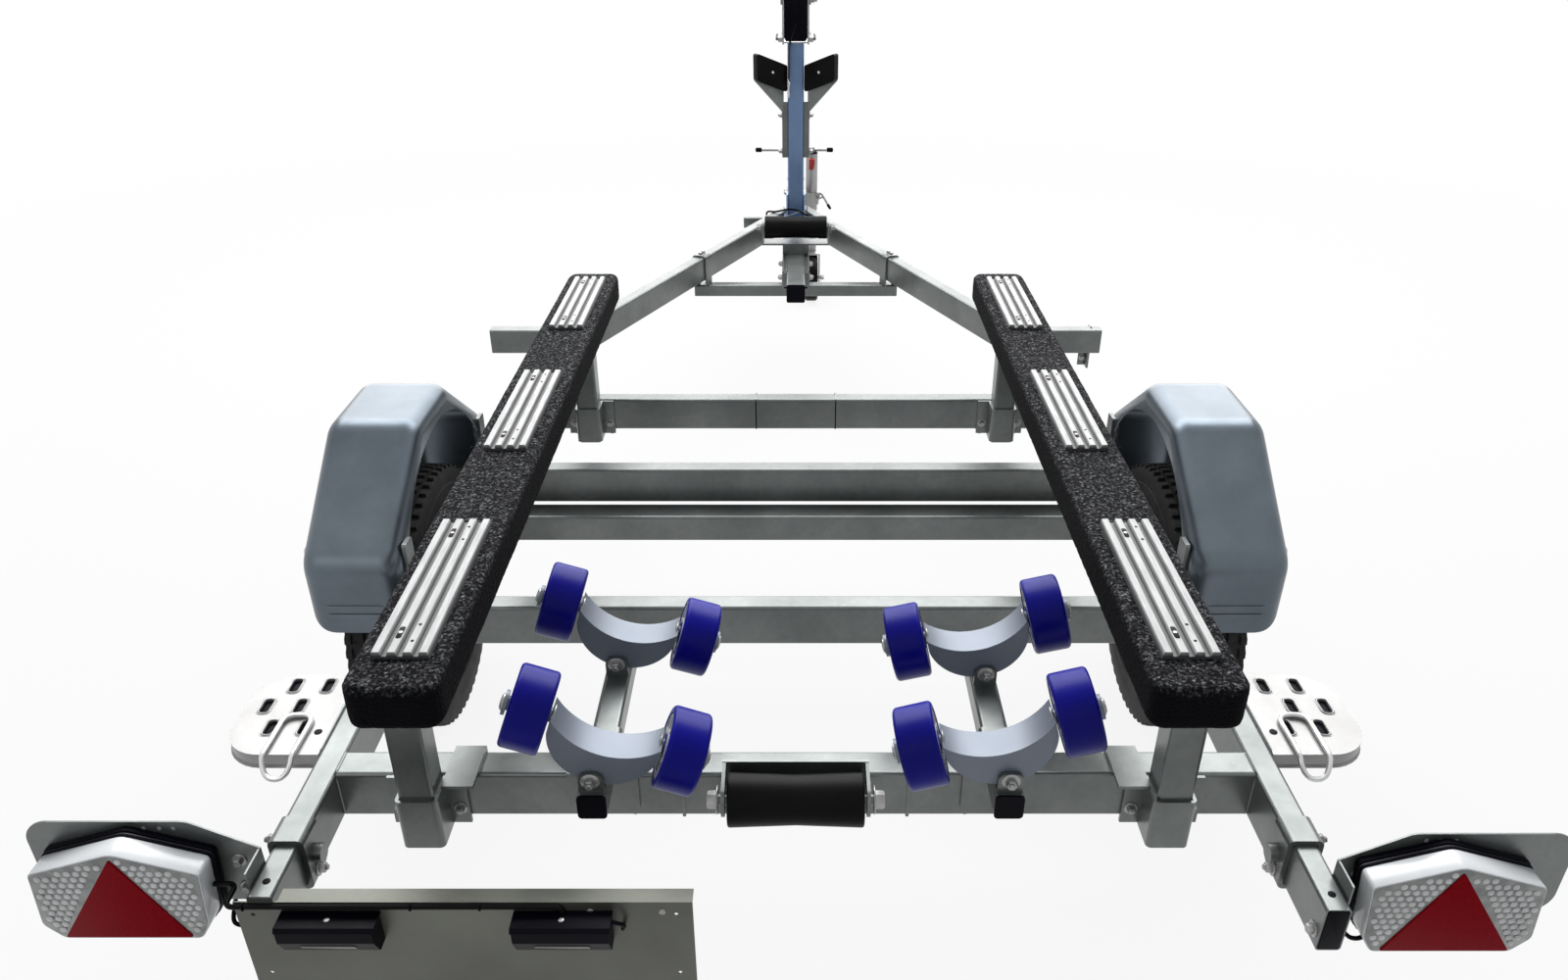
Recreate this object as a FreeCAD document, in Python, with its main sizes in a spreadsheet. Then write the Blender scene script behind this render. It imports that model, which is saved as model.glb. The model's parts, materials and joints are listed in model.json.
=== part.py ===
"""Boat trailer: a galvanised frame with a drawbar, carpeted bunks, swinging keel rollers and a winch post.

Millimetres. +Y runs forward to the coupling, +X to the right seen from behind, +Z up. The origin is on the
ground, in the middle of the overall length. Fore and aft places are counted from the wheel centre.
"""
import FreeCAD, Part
import math
import os

import Sketcher

# Driving dimensions, in millimetres and degrees
SIZES = {
    # main frame
    "rail_height": 80.0,
    "rail_width": 40.0,
    "rail_wall": 3.0,
    "tube_corner": 6.0,
    "frame_top": 500.0,
    "rail_spread": 1360.0,
    "rail_rear": 923.0,
    "rail_bend": 901.0,
    "arm_angle": 24.0,
    "rear_beam_reach": 791.0,
    "rear_beam_depth": 50.0,
    "beam_depth": 40.0,
    "middle_beam_reach": 372.0,
    "axle_beam_reach": 150.0,
    "front_beam_reach": 522.0,
    "outrigger_reach": 1000.0,
    "outrigger_height": 70.0,
    "outrigger_spread": 1730.0,
    # drawbar
    "channel_width": 91.0,
    "channel_wall": 5.0,
    "channel_rear": 1650.0,
    "channel_front": 2400.0,
    "drawbar_size": 60.0,
    "drawbar_wall": 4.0,
    "drawbar_top": 465.0,
    "drawbar_rear": 1510.0,
    "drawbar_front": 2900.0,
    "cross_tube_size": 40.0,
    "cross_tube_reach": 1700.0,
    "cross_tube_length": 690.0,
    "strap_thickness": 5.0,
    "strap_width": 40.0,
    # axle and wheels
    "axle_size": 60.0,
    "axle_wall": 5.0,
    "axle_inset": 6.0,
    "swing_arm_lead": 115.0,
    "swing_arm_thickness": 20.0,
    "swing_arm_eye": 56.0,
    "axle_gap": 2.0,
    "swing_bar_gap": 0.3,
    "saddle_thickness": 6.0,
    "saddle_length": 150.0,
    "track": 1594.0,
    "tyre_diameter": 560.0,
    "tyre_width": 140.0,
    "tyre_wall": 11.0,
    "tyre_shoulder": 16.0,
    "tyre_tread": 15.0,
    "rim_diameter": 330.0,
    "rim_width": 118.0,
    "rim_sheet": 3.0,
    "rim_well": 18.0,
    "rim_lip": 12.0,
    "rim_offset": 24.0,
    "disc_sheet": 4.8,
    "disc_dish": 24.0,
    "hub_back": 66.0,
    "cap_out": 33.0,
    "bead_gap": 0.3,
    "hub_diameter": 76.0,
    "hub_bore": 30.0,
    "hub_flange": 130.0,
    "spindle_clearance": 0.5,
    "spindle_beyond": 20.0,
    # mudguards
    "guard_width": 178.0,
    "guard_length": 650.0,
    "guard_flat": 190.0,
    "guard_shoulder": 558.0,
    "guard_top": 730.0,
    "guard_drop": 412.0,
    "guard_sheet": 2.0,
    "guard_round": 34.0,
    "guard_bend": 60.0,
    "guard_corner": 50.0,
    "guard_arch_rise": 100.0,
    "guard_arch_inner": 303.0,
    "guard_arch_outer": 286.0,
    "stay_width": 36.0,
    "stay_reach": 268.0,
    "stay_rise": 75.0,
    # bunks
    "bunk_spread": 1000.0,
    "bunk_width": 123.0,
    "bunk_thickness": 65.0,
    "bunk_top": 762.0,
    "bunk_rear": 930.0,
    "bunk_front": 707.0,
    "bunk_end_round": 26.0,
    "bunk_edge_round": 10.0,
    "strip_width": 75.0,
    "strip_base": 4.0,
    "strip_height": 11.0,
    "strip_rib": 14.0,
    "strip_taper": 2.1,
    "strip_round": 1.5,
    "strip_length": 335.0,
    "strip_overhang": 63.0,
    "post_size": 50.0,
    "post_wall": 3.0,
    "rear_post_spread": 1060.0,
    "front_post_spread": 1006.0,
    "post_below": 12.0,
    "head_length": 110.0,
    "head_width": 90.0,
    "head_thickness": 5.0,
    "clamp_wall": 5.0,
    "clamp_flange": 26.0,
    "beam_plate_width": 45.0,
    "beam_plate_sheet": 5.0,
    "beam_plate_over": 30.0,
    "beam_plate_lip": 14.0,
    "clamp_height": 86.0,
    "clamp_drop": 2.0,
    # roller arms, cradles and rollers
    "roller_arm_size": 40.0,
    "roller_arm_left": 277.0,
    "roller_arm_right": 290.0,
    "roller_arm_rear": 875.0,
    "roller_arm_front": 508.0,
    "cradle_rear": 838.0,
    "cradle_front_left": 582.0,
    "cradle_front_right": 606.0,
    "cradle_pivot_rise": 20.0,
    "cradle_pin": 12.0,
    "pin_clearance": 0.25,
    "cradle_boss": 24.0,
    "cradle_depth": 50.0,
    "cradle_hollow": 34.0,
    "cradle_belly": 74.0,
    "cradle_tip": 11.0,
    "stub_length": 4.0,
    "lug_thickness": 6.0,
    "lug_gap": 1.0,
    "lug_height": 32.0,
    "lug_width": 34.0,
    "lug_round": 12.0,
    "roller_axis_rise": 66.0,
    "roller_spacing": 212.0,
    "roller_diameter": 114.0,
    "roller_width": 54.0,
    "roller_round": 6.0,
    "roller_bore": 21.0,
    "roller_shaft": 20.0,
    "roller_recess": 10.0,
    "roller_rim": 11.0,
    "roller_side_gap": 3.0,
    "shaft_head": 34.0,
    "shaft_head_length": 5.0,
    "tilt_rear_left": 20.0,
    "tilt_rear_right": 16.0,
    "tilt_front_left": 18.0,
    "tilt_front_right": 14.0,
    "keel_rear_diameter": 75.0,
    "keel_rear_length": 190.0,
    "keel_rear_drop": 4.0,
    "keel_front_diameter": 77.0,
    "keel_front_length": 215.0,
    "keel_front_reach": 1880.0,
    "keel_bore": 16.4,
    "keel_pin": 16.0,
    "keel_end_gap": 4.0,
    "keel_waist": 3.0,
    "keel_round": 3.0,
    "keel_ear": 5.0,
    "keel_ear_round": 16.0,
    "keel_plate_depth": 64.0,
    "keel_seat_gap": 12.0,
    # steps and collars
    "step_length": 190.0,
    "step_width": 152.0,
    "step_rear": 750.0,
    "step_thickness": 4.0,
    "step_lip": 24.0,
    "step_hole_length": 34.0,
    "step_hole_width": 16.0,
    "step_round": 64.0,
    "step_column_first": 42.0,
    "step_column_pitch": 26.0,
    "step_row_first": 60.0,
    "step_row_pitch": 50.0,
    "collar_length": 46.0,
    "collar_wall": 4.0,
    "collar_gap": 0.3,
    "collar_lug": 26.0,
    # lamp carriers, lamps and plate board
    "carrier_gap": 0.5,
    "carrier_wall": 3.0,
    "carrier_out_left": 83.0,
    "carrier_out_right": 104.0,
    "carrier_inside": 330.0,
    "cap_thickness": 3.0,
    "holder_sheet": 2.5,
    "holder_reach": 315.0,
    "holder_top": 567.0,
    "holder_height": 140.0,
    "holder_slope": 46.0,
    "holder_slope_run": 86.0,
    "holder_round": 34.0,
    "holder_ahead": 55.0,
    "holder_flange": 44.0,
    "lamp_width": 231.0,
    "lamp_height": 156.0,
    "lamp_depth": 52.0,
    "lamp_left": 866.0,
    "lamp_right": 832.0,
    "lamp_slant": 8.0,
    "lamp_foot_rise": 27.0,
    "lamp_foot_inset": 24.5,
    "lamp_shoulder": 36.0,
    "lamp_peak_inset": 8.0,
    "lamp_corner": 12.0,
    "lamp_edge": 7.0,
    "lamp_centre": 484.0,
    "board_length": 583.0,
    "board_height": 154.0,
    "board_sheet": 2.0,
    "board_top": 489.0,
    "board_flange": 20.0,
    "board_overlap": 34.0,
    "plate_hole": 5.5,
    "plate_hole_spread": 540.0,
    "plate_hole_height": 110.0,
    "plate_light_width": 122.0,
    "plate_light_height": 50.0,
    "plate_light_depth": 32.0,
    "plate_light_first": 122.0,
    "plate_light_second": 418.0,
    "plate_light_drop": 16.0,
    "plate_light_foot": 19.0,
    "plate_light_front": 22.5,
    "plate_light_round": 5.0,
    "cable_diameter": 7.0,
    "cable_rise": 11.5,
    "cable_bend": 10.0,
    "cable_gap": 0.4,
    # winch post
    "post_reach": 2320.0,
    "winch_post_size": 60.0,
    "winch_post_top": 1100.0,
    "foot_length": 130.0,
    "foot_thickness": 6.0,
    "foot_cheek": 90.0,
    "bow_centre": 1007.0,
    "bow_pad_width": 126.0,
    "bow_pad_height": 92.0,
    "bow_pad_rise": 50.0,
    "bow_pad_thickness": 26.0,
    "bow_pad_angle": 32.0,
    "bow_arm_width": 40.0,
    "bow_arm_thickness": 20.0,
    "bow_arm_foot": 700.0,
    "bow_arm_bend": 880.0,
    "bow_plate": 8.0,
    "winch_top": 1300.0,
    "winch_width": 84.0,
    "winch_plate": 4.0,
    "winch_depth": 130.0,
    "winch_waist": 80.0,
    "winch_taper": 20.0,
    "drum_diameter": 40.0,
    "strap_roll": 92.0,
    "strap_web": 50.0,
    "strap_sheet": 3.0,
    "drum_below": 10.0,
    "crank_length": 190.0,
    "crank_grip": 95.0,
    "crank_grip_diameter": 28.0,
    "crank_bar": 24.0,
    "crank_sheet": 8.0,
    "crank_out": 12.0,
    # coupling and jockey wheel
    "nose_reach": 3050.0,
    "coupling_length": 240.0,
    "coupling_wall": 4.0,
    "coupling_round": 26.0,
    "lever_width": 28.0,
    "lever_round": 8.0,
    "lever_front": 26.0,
    "lever_rear": 48.0,
    "lever_sheet": 18.0,
    "socket_gap": 0.5,
    "ball_diameter": 50.0,
    "ball_setback": 38.0,
    "ball_drop": 18.0,
    "jockey_reach": 2750.0,
    "jockey_side": 66.0,
    "jockey_tube": 48.0,
    "jockey_wall": 2.5,
    "clamp_block_wall": 6.0,
    "clamp_block_seat": 3.6,
    "clamp_block_inset": 5.0,
    "jockey_gap": 0.5,
    "swivel_gap": 0.4,
    "jockey_bottom": 386.0,
    "jockey_top": 618.0,
    "jockey_leg_top": 468.0,
    "jockey_bar_height": 631.0,
    "jockey_bar_length": 312.0,
    "jockey_bar_slide": 72.0,
    "jockey_bar": 12.0,
    "jockey_wheel_diameter": 200.0,
    "jockey_wheel_width": 56.0,
    "jockey_web": 22.0,
    "jockey_axle_gap": 0.3,
    "jockey_hub": 60.0,
    "jockey_slope": 9.0,
    "jockey_band": 30.0,
    "jockey_round": 14.0,
    "jockey_trail": 36.0,
    "fork_sheet": 5.0,
    "fork_blade": 38.0,
    "fork_round": 16.0,
    "fork_gap": 4.0,
    "fork_crown": 6.0,
    "jockey_axle": 14.0,
}

NO_TURN = 0.0
FULL_TURN = 360.0
HAIR = 1e-9

doc = FreeCAD.newDocument("BoatTrailer")


def make_sheet(name, entries):
    """A spreadsheet with one alias for each entry."""
    sheet = doc.addObject("Spreadsheet::Sheet", name)
    for row, (alias, text) in enumerate(entries, start=1):
        sheet.set(f"A{row}", text)
        sheet.setAlias(f"A{row}", alias)
    return sheet


SIZE_SHEET = make_sheet("Size", [(alias, str(number)) for alias, number in SIZES.items()])
doc.recompute()


class Value:
    """A length or angle: its number now, and the formula that gives it from the sheets."""

    def __init__(self, number, text):
        self.number = number
        self.text = text

    def __add__(self, other):
        other = as_value(other)
        return Value(self.number + other.number, f"({self.text} + {other.text})")

    def __radd__(self, other):
        return as_value(other) + self

    def __sub__(self, other):
        other = as_value(other)
        return Value(self.number - other.number, f"({self.text} - {other.text})")

    def __rsub__(self, other):
        return as_value(other) - self

    def __mul__(self, other):
        other = as_value(other)
        return Value(self.number * other.number, f"({self.text} * {other.text})")

    def __rmul__(self, other):
        return as_value(other) * self

    def __truediv__(self, other):
        other = as_value(other)
        return Value(self.number / other.number, f"({self.text} / {other.text})")

    def __neg__(self):
        return Value(-self.number, f"(-1 * {self.text})")


def as_value(thing):
    """A plain number as a Value."""
    if isinstance(thing, Value):
        return thing
    return Value(float(thing), f"({thing})")


def size(alias):
    return Value(float(SIZE_SHEET.get(alias)), f"Size.{alias}")


def sine(angle):
    return Value(math.sin(math.radians(angle.number)), f"sin({angle.text})")


def cosine(angle):
    return Value(math.cos(math.radians(angle.number)), f"cos({angle.text})")


def tangent(angle):
    return Value(math.tan(math.radians(angle.number)), f"tan({angle.text})")


def root(value):
    return Value(math.sqrt(value.number), f"sqrt({value.text})")


class Places:
    """Worked-out values that many pieces share, kept in a sheet of their own."""

    def __init__(self):
        self.sheet = doc.addObject("Spreadsheet::Sheet", "Place")
        self.count = 0

    def keep(self, alias, value):
        self.count += 1
        self.sheet.set(f"A{self.count}", f"={value.text}")
        self.sheet.setAlias(f"A{self.count}", alias)
        return Value(value.number, f"Place.{alias}")


PLACES = Places()
keep = PLACES.keep


def vector(x, y, z):
    """A plain vector from numbers or Values."""
    return FreeCAD.Vector(as_value(x).number, as_value(y).number, as_value(z).number)


def bind(thing, path, value):
    """Ties one property of an object to its formula."""
    if isinstance(value, Value):
        thing.setExpression(path, value.text)


def put(thing, x=0, y=0, z=0, axis=(0, 0, 1), angle=NO_TURN):
    """Places an object, turned about an axis through its own origin."""
    turn = FreeCAD.Rotation(FreeCAD.Vector(*axis), as_value(angle).number)
    thing.Placement = FreeCAD.Placement(vector(x, y, z), turn)
    bind(thing, "Placement.Base.x", x)
    bind(thing, "Placement.Base.y", y)
    bind(thing, "Placement.Base.z", z)
    bind(thing, "Placement.Rotation.Angle", angle)
    return thing


# Sketches
def unit(start, end):
    """The direction from one sketch point to another, as a pair."""
    step = (end[0] - start[0], end[1] - start[1])
    if abs(step[0].number) < HAIR:
        return as_value(0), as_value(math.copysign(1, step[1].number))
    if abs(step[1].number) < HAIR:
        return as_value(math.copysign(1, step[0].number)), as_value(0)
    length = root(step[0] * step[0] + step[1] * step[1])
    return step[0] / length, step[1] / length


def corner_cut(before, corner, after, radius):
    """The two points where a corner's arc meets its straight sides, and the arc's centre."""
    back = unit(corner, before)
    ahead = unit(corner, after)
    cosine_between = back[0] * ahead[0] + back[1] * ahead[1]
    reach = radius
    if abs(cosine_between.number) > HAIR:
        reach = radius * root((1 + cosine_between) / (1 - cosine_between))
    entry = (corner[0] + back[0] * reach, corner[1] + back[1] * reach)
    leave = (corner[0] + ahead[0] * reach, corner[1] + ahead[1] * reach)
    half = math.acos(cosine_between.number) / 2
    middle = FreeCAD.Vector(back[0].number + ahead[0].number, back[1].number + ahead[1].number, 0)
    middle.normalize()
    middle.multiply(radius.number / math.sin(half))
    centre = FreeCAD.Vector(corner[0].number, corner[1].number, 0) + middle
    return entry, leave, centre


def flat(point):
    return FreeCAD.Vector(point[0].number, point[1].number, 0)


def arc_between(start, end, centre, radius):
    """The short arc from start to end; True when the arc's own start is the first point."""
    first = math.atan2(start.y - centre.y, start.x - centre.x)
    last = math.atan2(end.y - centre.y, end.x - centre.x)
    circle = Part.Circle(centre, FreeCAD.Vector(0, 0, 1), radius)
    forward = (last - first) % math.tau < math.pi
    if forward:
        return Part.ArcOfCircle(circle, first, last), True
    return Part.ArcOfCircle(circle, last, first), False


def bulge_centre(start, end, radius):
    """The centre of the arc from start to end that bulges right for a positive radius."""
    chord = end - start
    middle = (start + end) / 2
    left = FreeCAD.Vector(-chord.y, chord.x, 0)
    left.normalize()
    height = math.sqrt(radius * radius - chord.Length * chord.Length / 4)
    return middle + left * math.copysign(height, radius)


class Outline:
    """Collects bound loops and draws them on one sketch.

    A loop is a list of corners (x, y, round, bulge): round is the radius of the corner, and bulge, when
    given, makes the side that follows an arc of that radius, bulging right of the way for a positive one.
    """

    def __init__(self):
        self.lines = []
        self.rules = []
        self.formulas = []

    def add(self, line):
        self.lines.append(line)
        return len(self.lines) - 1

    def rule(self, *what, value=None):
        """One constraint, with the formula of its size if it has one."""
        if value is None:
            self.rules.append(Sketcher.Constraint(*what))
            return
        self.formulas.append((len(self.rules), value))
        self.rules.append(Sketcher.Constraint(*what, value.number))

    def fix(self, line, end, point):
        """Ties one end of a line or arc to its place."""
        self.rule("DistanceX", -1, 1, line, end, value=point[0])
        self.rule("DistanceY", -1, 1, line, end, value=point[1])

    def loop(self, corners):
        full = [tuple(corner) + (0, None)[len(corner) - 2:] for corner in corners]
        points = [(as_value(corner[0]), as_value(corner[1])) for corner in full]
        count = len(points)
        cuts = []
        for index, corner in enumerate(full):
            radius = as_value(corner[2])
            if radius.number == 0:
                cuts.append((points[index], points[index], None, None))
                continue
            entry, leave, centre = corner_cut(
                points[index - 1], points[index], points[(index + 1) % count], radius)
            cuts.append((entry, leave, centre, radius))
        sides = [self.side(cuts[index][1], cuts[(index + 1) % count][0], full[index][3],
                           cuts[(index + 1) % count][2] is not None) for index in range(count)]
        for index, (entry, leave, centre, radius) in enumerate(cuts):
            before, before_end = sides[index - 1][0], sides[index - 1][2]
            after, after_start = sides[index][0], sides[index][1]
            if centre is None:
                self.rule("Coincident", before, before_end, after, after_start)
                continue
            arc, forward = arc_between(flat(entry), flat(leave), centre, radius.number)
            rounded = self.add(arc)
            self.rule("Coincident", before, before_end, rounded, 1 if forward else 2)
            self.rule("Coincident", rounded, 2 if forward else 1, after, after_start)
            self.rule("Radius", rounded, value=radius)

    def side(self, start, end, bulge, fix_end):
        """One side of a loop, straight or bulging: its number, and which of its ends start and end it."""
        start_end, end_end = 1, 2
        if bulge is None:
            line = self.add(Part.LineSegment(flat(start), flat(end)))
        else:
            bulge = as_value(bulge)
            centre = bulge_centre(flat(start), flat(end), bulge.number)
            arc, forward = arc_between(flat(start), flat(end), centre, abs(bulge.number))
            line = self.add(arc)
            if not forward:
                start_end, end_end = 2, 1
            self.rule("Radius", line, value=bulge if bulge.number > 0 else -bulge)
        self.fix(line, start_end, start)
        if fix_end:
            self.fix(line, end_end, end)
        return line, start_end, end_end

    def circle(self, x, y, radius):
        x, y, radius = as_value(x), as_value(y), as_value(radius)
        centre = FreeCAD.Vector(x.number, y.number, 0)
        circle = self.add(Part.Circle(centre, FreeCAD.Vector(0, 0, 1), radius.number))
        self.fix(circle, 3, (x, y))
        self.rule("Radius", circle, value=radius)

    def draw(self, sketch):
        sketch.addGeometry(self.lines, False)
        sketch.addConstraint(self.rules)
        for number, value in self.formulas:
            bind(sketch, f"Constraints[{number}]", value)


def rectangle(left, right, bottom, top, rounding=0):
    """The loop of an upright rectangle."""
    return [(left, bottom, rounding), (right, bottom, rounding), (right, top, rounding), (left, top, rounding)]


def box_section(width, height, wall, rounding, across=0, up=0):
    """The two loops of a rectangular tube's section, centred on (across, up)."""
    loops = []
    for step, corner in ((0, rounding), (wall, rounding - wall)):
        half_width = width / 2 - step
        half_height = height / 2 - step
        loops.append(rectangle(across - half_width, across + half_width, up - half_height, up + half_height,
                               corner))
    return loops


# The plane whose normal is each axis, whether a pad must be reversed to run along +axis, and the sign that
# moves its sketch along +axis
PLANES = {
    "X": ("YZ_Plane", False, 1),
    "Y": ("XZ_Plane", True, -1),
    "Z": ("XY_Plane", False, 1),
}


def new_body(name):
    return doc.addObject("PartDesign::Body", name)


def new_sketch(body, axis, loops, circles=(), offset=0):
    """A sketch square to the axis, moved along it by offset."""
    plane_role, _, side = PLANES[axis]
    plane = [feature for feature in body.Origin.OriginFeatures if feature.Role == plane_role][0]
    sketch = body.newObject("Sketcher::SketchObject", f"{body.Name}_outline")
    sketch.AttachmentSupport = (plane, [""])
    sketch.MapMode = "FlatFace"
    moved = as_value(offset) * side
    sketch.AttachmentOffset = FreeCAD.Placement(vector(0, 0, moved), FreeCAD.Rotation())
    if isinstance(offset, Value):
        bind(sketch, "AttachmentOffset.Base.z", moved)
    outline = Outline()
    for loop in loops:
        outline.loop(loop)
    for circle in circles:
        outline.circle(*circle)
    outline.draw(sketch)
    return sketch


def pad(body, axis, loops, start, length, circles=()):
    """Pads an outline along +axis from start."""
    sketch = new_sketch(body, axis, loops, circles, start)
    feature = body.newObject("PartDesign::Pad", f"{body.Name}_pad")
    feature.Profile = sketch
    feature.Reversed = PLANES[axis][1]
    feature.Length = as_value(length).number
    bind(feature, "Length", as_value(length))
    return feature


def shape_of(feature):
    """The shape of a feature that stands on one sketch, made now so that its edges can be picked."""
    PLACES.sheet.recompute()
    feature.Profile[0].recompute()
    feature.recompute()
    return feature.Shape


def round_edges(body, feature, edges, radius):
    """Rounds the picked edges of a body's feature."""
    radius = as_value(radius)
    fillet = body.newObject("PartDesign::Fillet", f"{body.Name}_round")
    fillet.Base = (feature, edges)
    fillet.Radius = radius.number
    bind(fillet, "Radius", radius)
    return fillet


def extrusion(name, axis, loops, start, length, circles=()):
    """A body that is one padded outline."""
    body = new_body(name)
    pad(body, axis, loops, start, length, circles)
    return body


def pocket_through(body, axis, loops, circles=()):
    """Cuts an outline right through a body, both ways along the axis."""
    sketch = new_sketch(body, axis, loops, circles)
    feature = body.newObject("PartDesign::Pocket", f"{body.Name}_pocket")
    feature.Profile = sketch
    feature.Type = "ThroughAll"
    feature.Midplane = True
    return feature


def revolution(name, axis, loops, plane_axis):
    """A body turned about X, Y or Z, from an outline drawn on the plane square to plane_axis."""
    body = new_body(name)
    sketch = new_sketch(body, plane_axis, loops)
    feature = body.newObject("PartDesign::Revolution", f"{name}_turned")
    feature.Profile = sketch
    feature.ReferenceAxis = (sketch, [axis])
    feature.Angle = FULL_TURN
    return body


def cylinder(name, axis, radius, start, length, centre):
    """A cylinder along X, Y or Z: it starts at start on its axis, and centre gives the other two places."""
    thing = doc.addObject("Part::Cylinder", name)
    bind(thing, "Radius", as_value(radius))
    bind(thing, "Height", as_value(length))
    if axis == "X":
        return put(thing, start, centre[0], centre[1], (0, 1, 0), 90)
    if axis == "Y":
        return put(thing, centre[0], start, centre[1], (1, 0, 0), -90)
    return put(thing, centre[0], centre[1], start)


def block(name, left, right, rear, front, bottom, top):
    """A box between six planes."""
    thing = doc.addObject("Part::Box", name)
    bind(thing, "Length", as_value(right) - left)
    bind(thing, "Width", as_value(front) - rear)
    bind(thing, "Height", as_value(top) - bottom)
    return put(thing, left, rear, bottom)


def cut(name, base, tool):
    thing = doc.addObject("Part::Cut", name)
    thing.Base = base
    thing.Tool = tool
    return thing


def fuse(name, shapes):
    thing = doc.addObject("Part::MultiFuse", name)
    thing.Shapes = shapes
    return thing


def together(name, pieces):
    """Several like pieces kept in one node, side by side."""
    thing = doc.addObject("Part::Compound", name)
    thing.Links = pieces
    return thing


PARTS = []


def part(label, thing):
    """Names a finished sub-part."""
    thing.Label = label
    PARTS.append(thing)
    return thing


# Shared places
REAR_REACH = (size("rail_rear") + size("carrier_out_left") + size("cap_thickness") + size("board_sheet")
              + size("plate_light_depth"))
WHEEL_Y = keep("wheel_y", (REAR_REACH - size("nose_reach")) / 2)
WHEEL_Z = keep("wheel_z", size("tyre_diameter") / 2)
WHEEL_X = keep("wheel_x", size("track") / 2)
FRAME_BOTTOM = keep("frame_bottom", size("frame_top") - size("rail_height"))
FRAME_MIDDLE = keep("frame_middle", size("frame_top") - size("rail_height") / 2)
RAIL_X = keep("rail_x", size("rail_spread") / 2)
RAIL_INNER = keep("rail_inner", RAIL_X - size("rail_width") / 2)
RAIL_OUTER = keep("rail_outer", RAIL_X + size("rail_width") / 2)
AXLE_Z = keep("axle_z", FRAME_BOTTOM - size("axle_size") / 2)
AXLE_END = keep("axle_end", RAIL_OUTER - size("axle_inset"))
BUNK_X = keep("bunk_x", size("bunk_spread") / 2)
BUNK_BOTTOM = keep("bunk_bottom", size("bunk_top") - size("bunk_thickness"))
ARM_TOP = keep("arm_top", size("frame_top") + size("roller_arm_size"))
PIVOT_Z = keep("pivot_z", ARM_TOP + size("cradle_pivot_rise"))
DRAWBAR_MIDDLE = keep("drawbar_middle", size("drawbar_top") - size("drawbar_size") / 2)
DRAWBAR_BOTTOM = keep("drawbar_bottom", size("drawbar_top") - size("drawbar_size"))
CHANNEL_HALF = keep("channel_half", size("channel_width") / 2)

MARGIN = 20.0
OVERLAP = 1.0
ROUND_SHARE = 0.9
TOLERANCE = 0.01
FOLD = 1.6
RIDGES = 4


def along(offset):
    """A place ahead of the wheel centre, or behind it when negative."""
    return WHEEL_Y + offset


SIDES = (("left", -1), ("right", 1))


# Main frame
def plan_wedge(name, side, ahead):
    """A tall block on one side of the mitre plane where a rail meets its drawbar arm."""
    rise = tangent(size("arm_angle") / 2)
    width = size("rail_width")
    outer = RAIL_OUTER + MARGIN
    inner = RAIL_INNER - MARGIN
    corner = along(size("rail_bend"))
    outer_y = corner + rise * MARGIN
    inner_y = corner - rise * (width + MARGIN)
    far = corner + (width * 10 if ahead else -width * 10)
    loop = [(outer * side, outer_y), (inner * side, inner_y), (inner * side, far), (outer * side, far)]
    return extrusion(name, "Z", [loop], FRAME_BOTTOM - MARGIN, size("rail_height") + 2 * MARGIN)


def side_rail(name, side):
    tube = extrusion(
        f"{name}_tube", "Y",
        box_section(size("rail_width"), size("rail_height"), size("rail_wall"), size("tube_corner"),
                    RAIL_X * side, FRAME_MIDDLE),
        along(-size("rail_rear")), size("rail_rear") + size("rail_bend") + MARGIN)
    return cut(name, tube, plan_wedge(f"{name}_mitre", side, True))


def turned_at_bend(thing, side):
    """Puts a piece drawn at its own origin on the bend, turned in to run along the drawbar arm."""
    return put(thing, RAIL_OUTER * side, along(size("rail_bend")), 0, (0, 0, 1), size("arm_angle") * side)


def drawbar_arm(name, side):
    run = keep(f"{name}_run", (RAIL_OUTER - CHANNEL_HALF) / sine(size("arm_angle")))
    half = size("rail_width") / 2
    tube = extrusion(
        f"{name}_tube", "Y",
        box_section(size("rail_width"), size("rail_height"), size("rail_wall"), size("tube_corner"),
                    -half * side, FRAME_MIDDLE),
        -MARGIN, run + 2 * MARGIN)
    turned_at_bend(tube, side)
    mitred = cut(f"{name}_mitred", tube, plan_wedge(f"{name}_mitre", side, False))
    channel = block(f"{name}_channel", -CHANNEL_HALF, CHANNEL_HALF, along(size("channel_rear")),
                    along(size("nose_reach")), FRAME_BOTTOM - MARGIN, size("frame_top") + MARGIN)
    return cut(name, mitred, channel)


def cross_beam(name, rear_reach, depth):
    """A tube across between the rails; rear_reach places its rear face from the wheel centre."""
    return extrusion(
        name, "X",
        box_section(depth, size("rail_height"), size("rail_wall"), size("tube_corner"),
                    along(rear_reach) + depth / 2, FRAME_MIDDLE),
        -RAIL_INNER, RAIL_INNER * 2)


def arm_block(name, side):
    """The solid envelope of a drawbar arm, widened inwards, to trim what stands against its outer face."""
    inward = size("rail_width") * 8
    left, right = (0, inward) if side < 0 else (-inward, 0)
    thing = extrusion(name, "Z", [rectangle(left, right, -inward, inward * 2)],
                      FRAME_BOTTOM - MARGIN, size("rail_height") + 2 * MARGIN)
    return turned_at_bend(thing, side)


def outrigger(name, side):
    half = size("outrigger_spread") / 2
    start = half * side if side < 0 else RAIL_INNER - size("rail_width") * 2
    tube = extrusion(
        f"{name}_tube", "X",
        box_section(size("beam_depth"), size("outrigger_height"), size("rail_wall"), size("tube_corner"),
                    along(size("outrigger_reach")) + size("beam_depth") / 2,
                    size("frame_top") - size("outrigger_height") / 2),
        start, half - RAIL_INNER + size("rail_width") * 2)
    return cut(name, tube, arm_block(f"{name}_trim", side))


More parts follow.
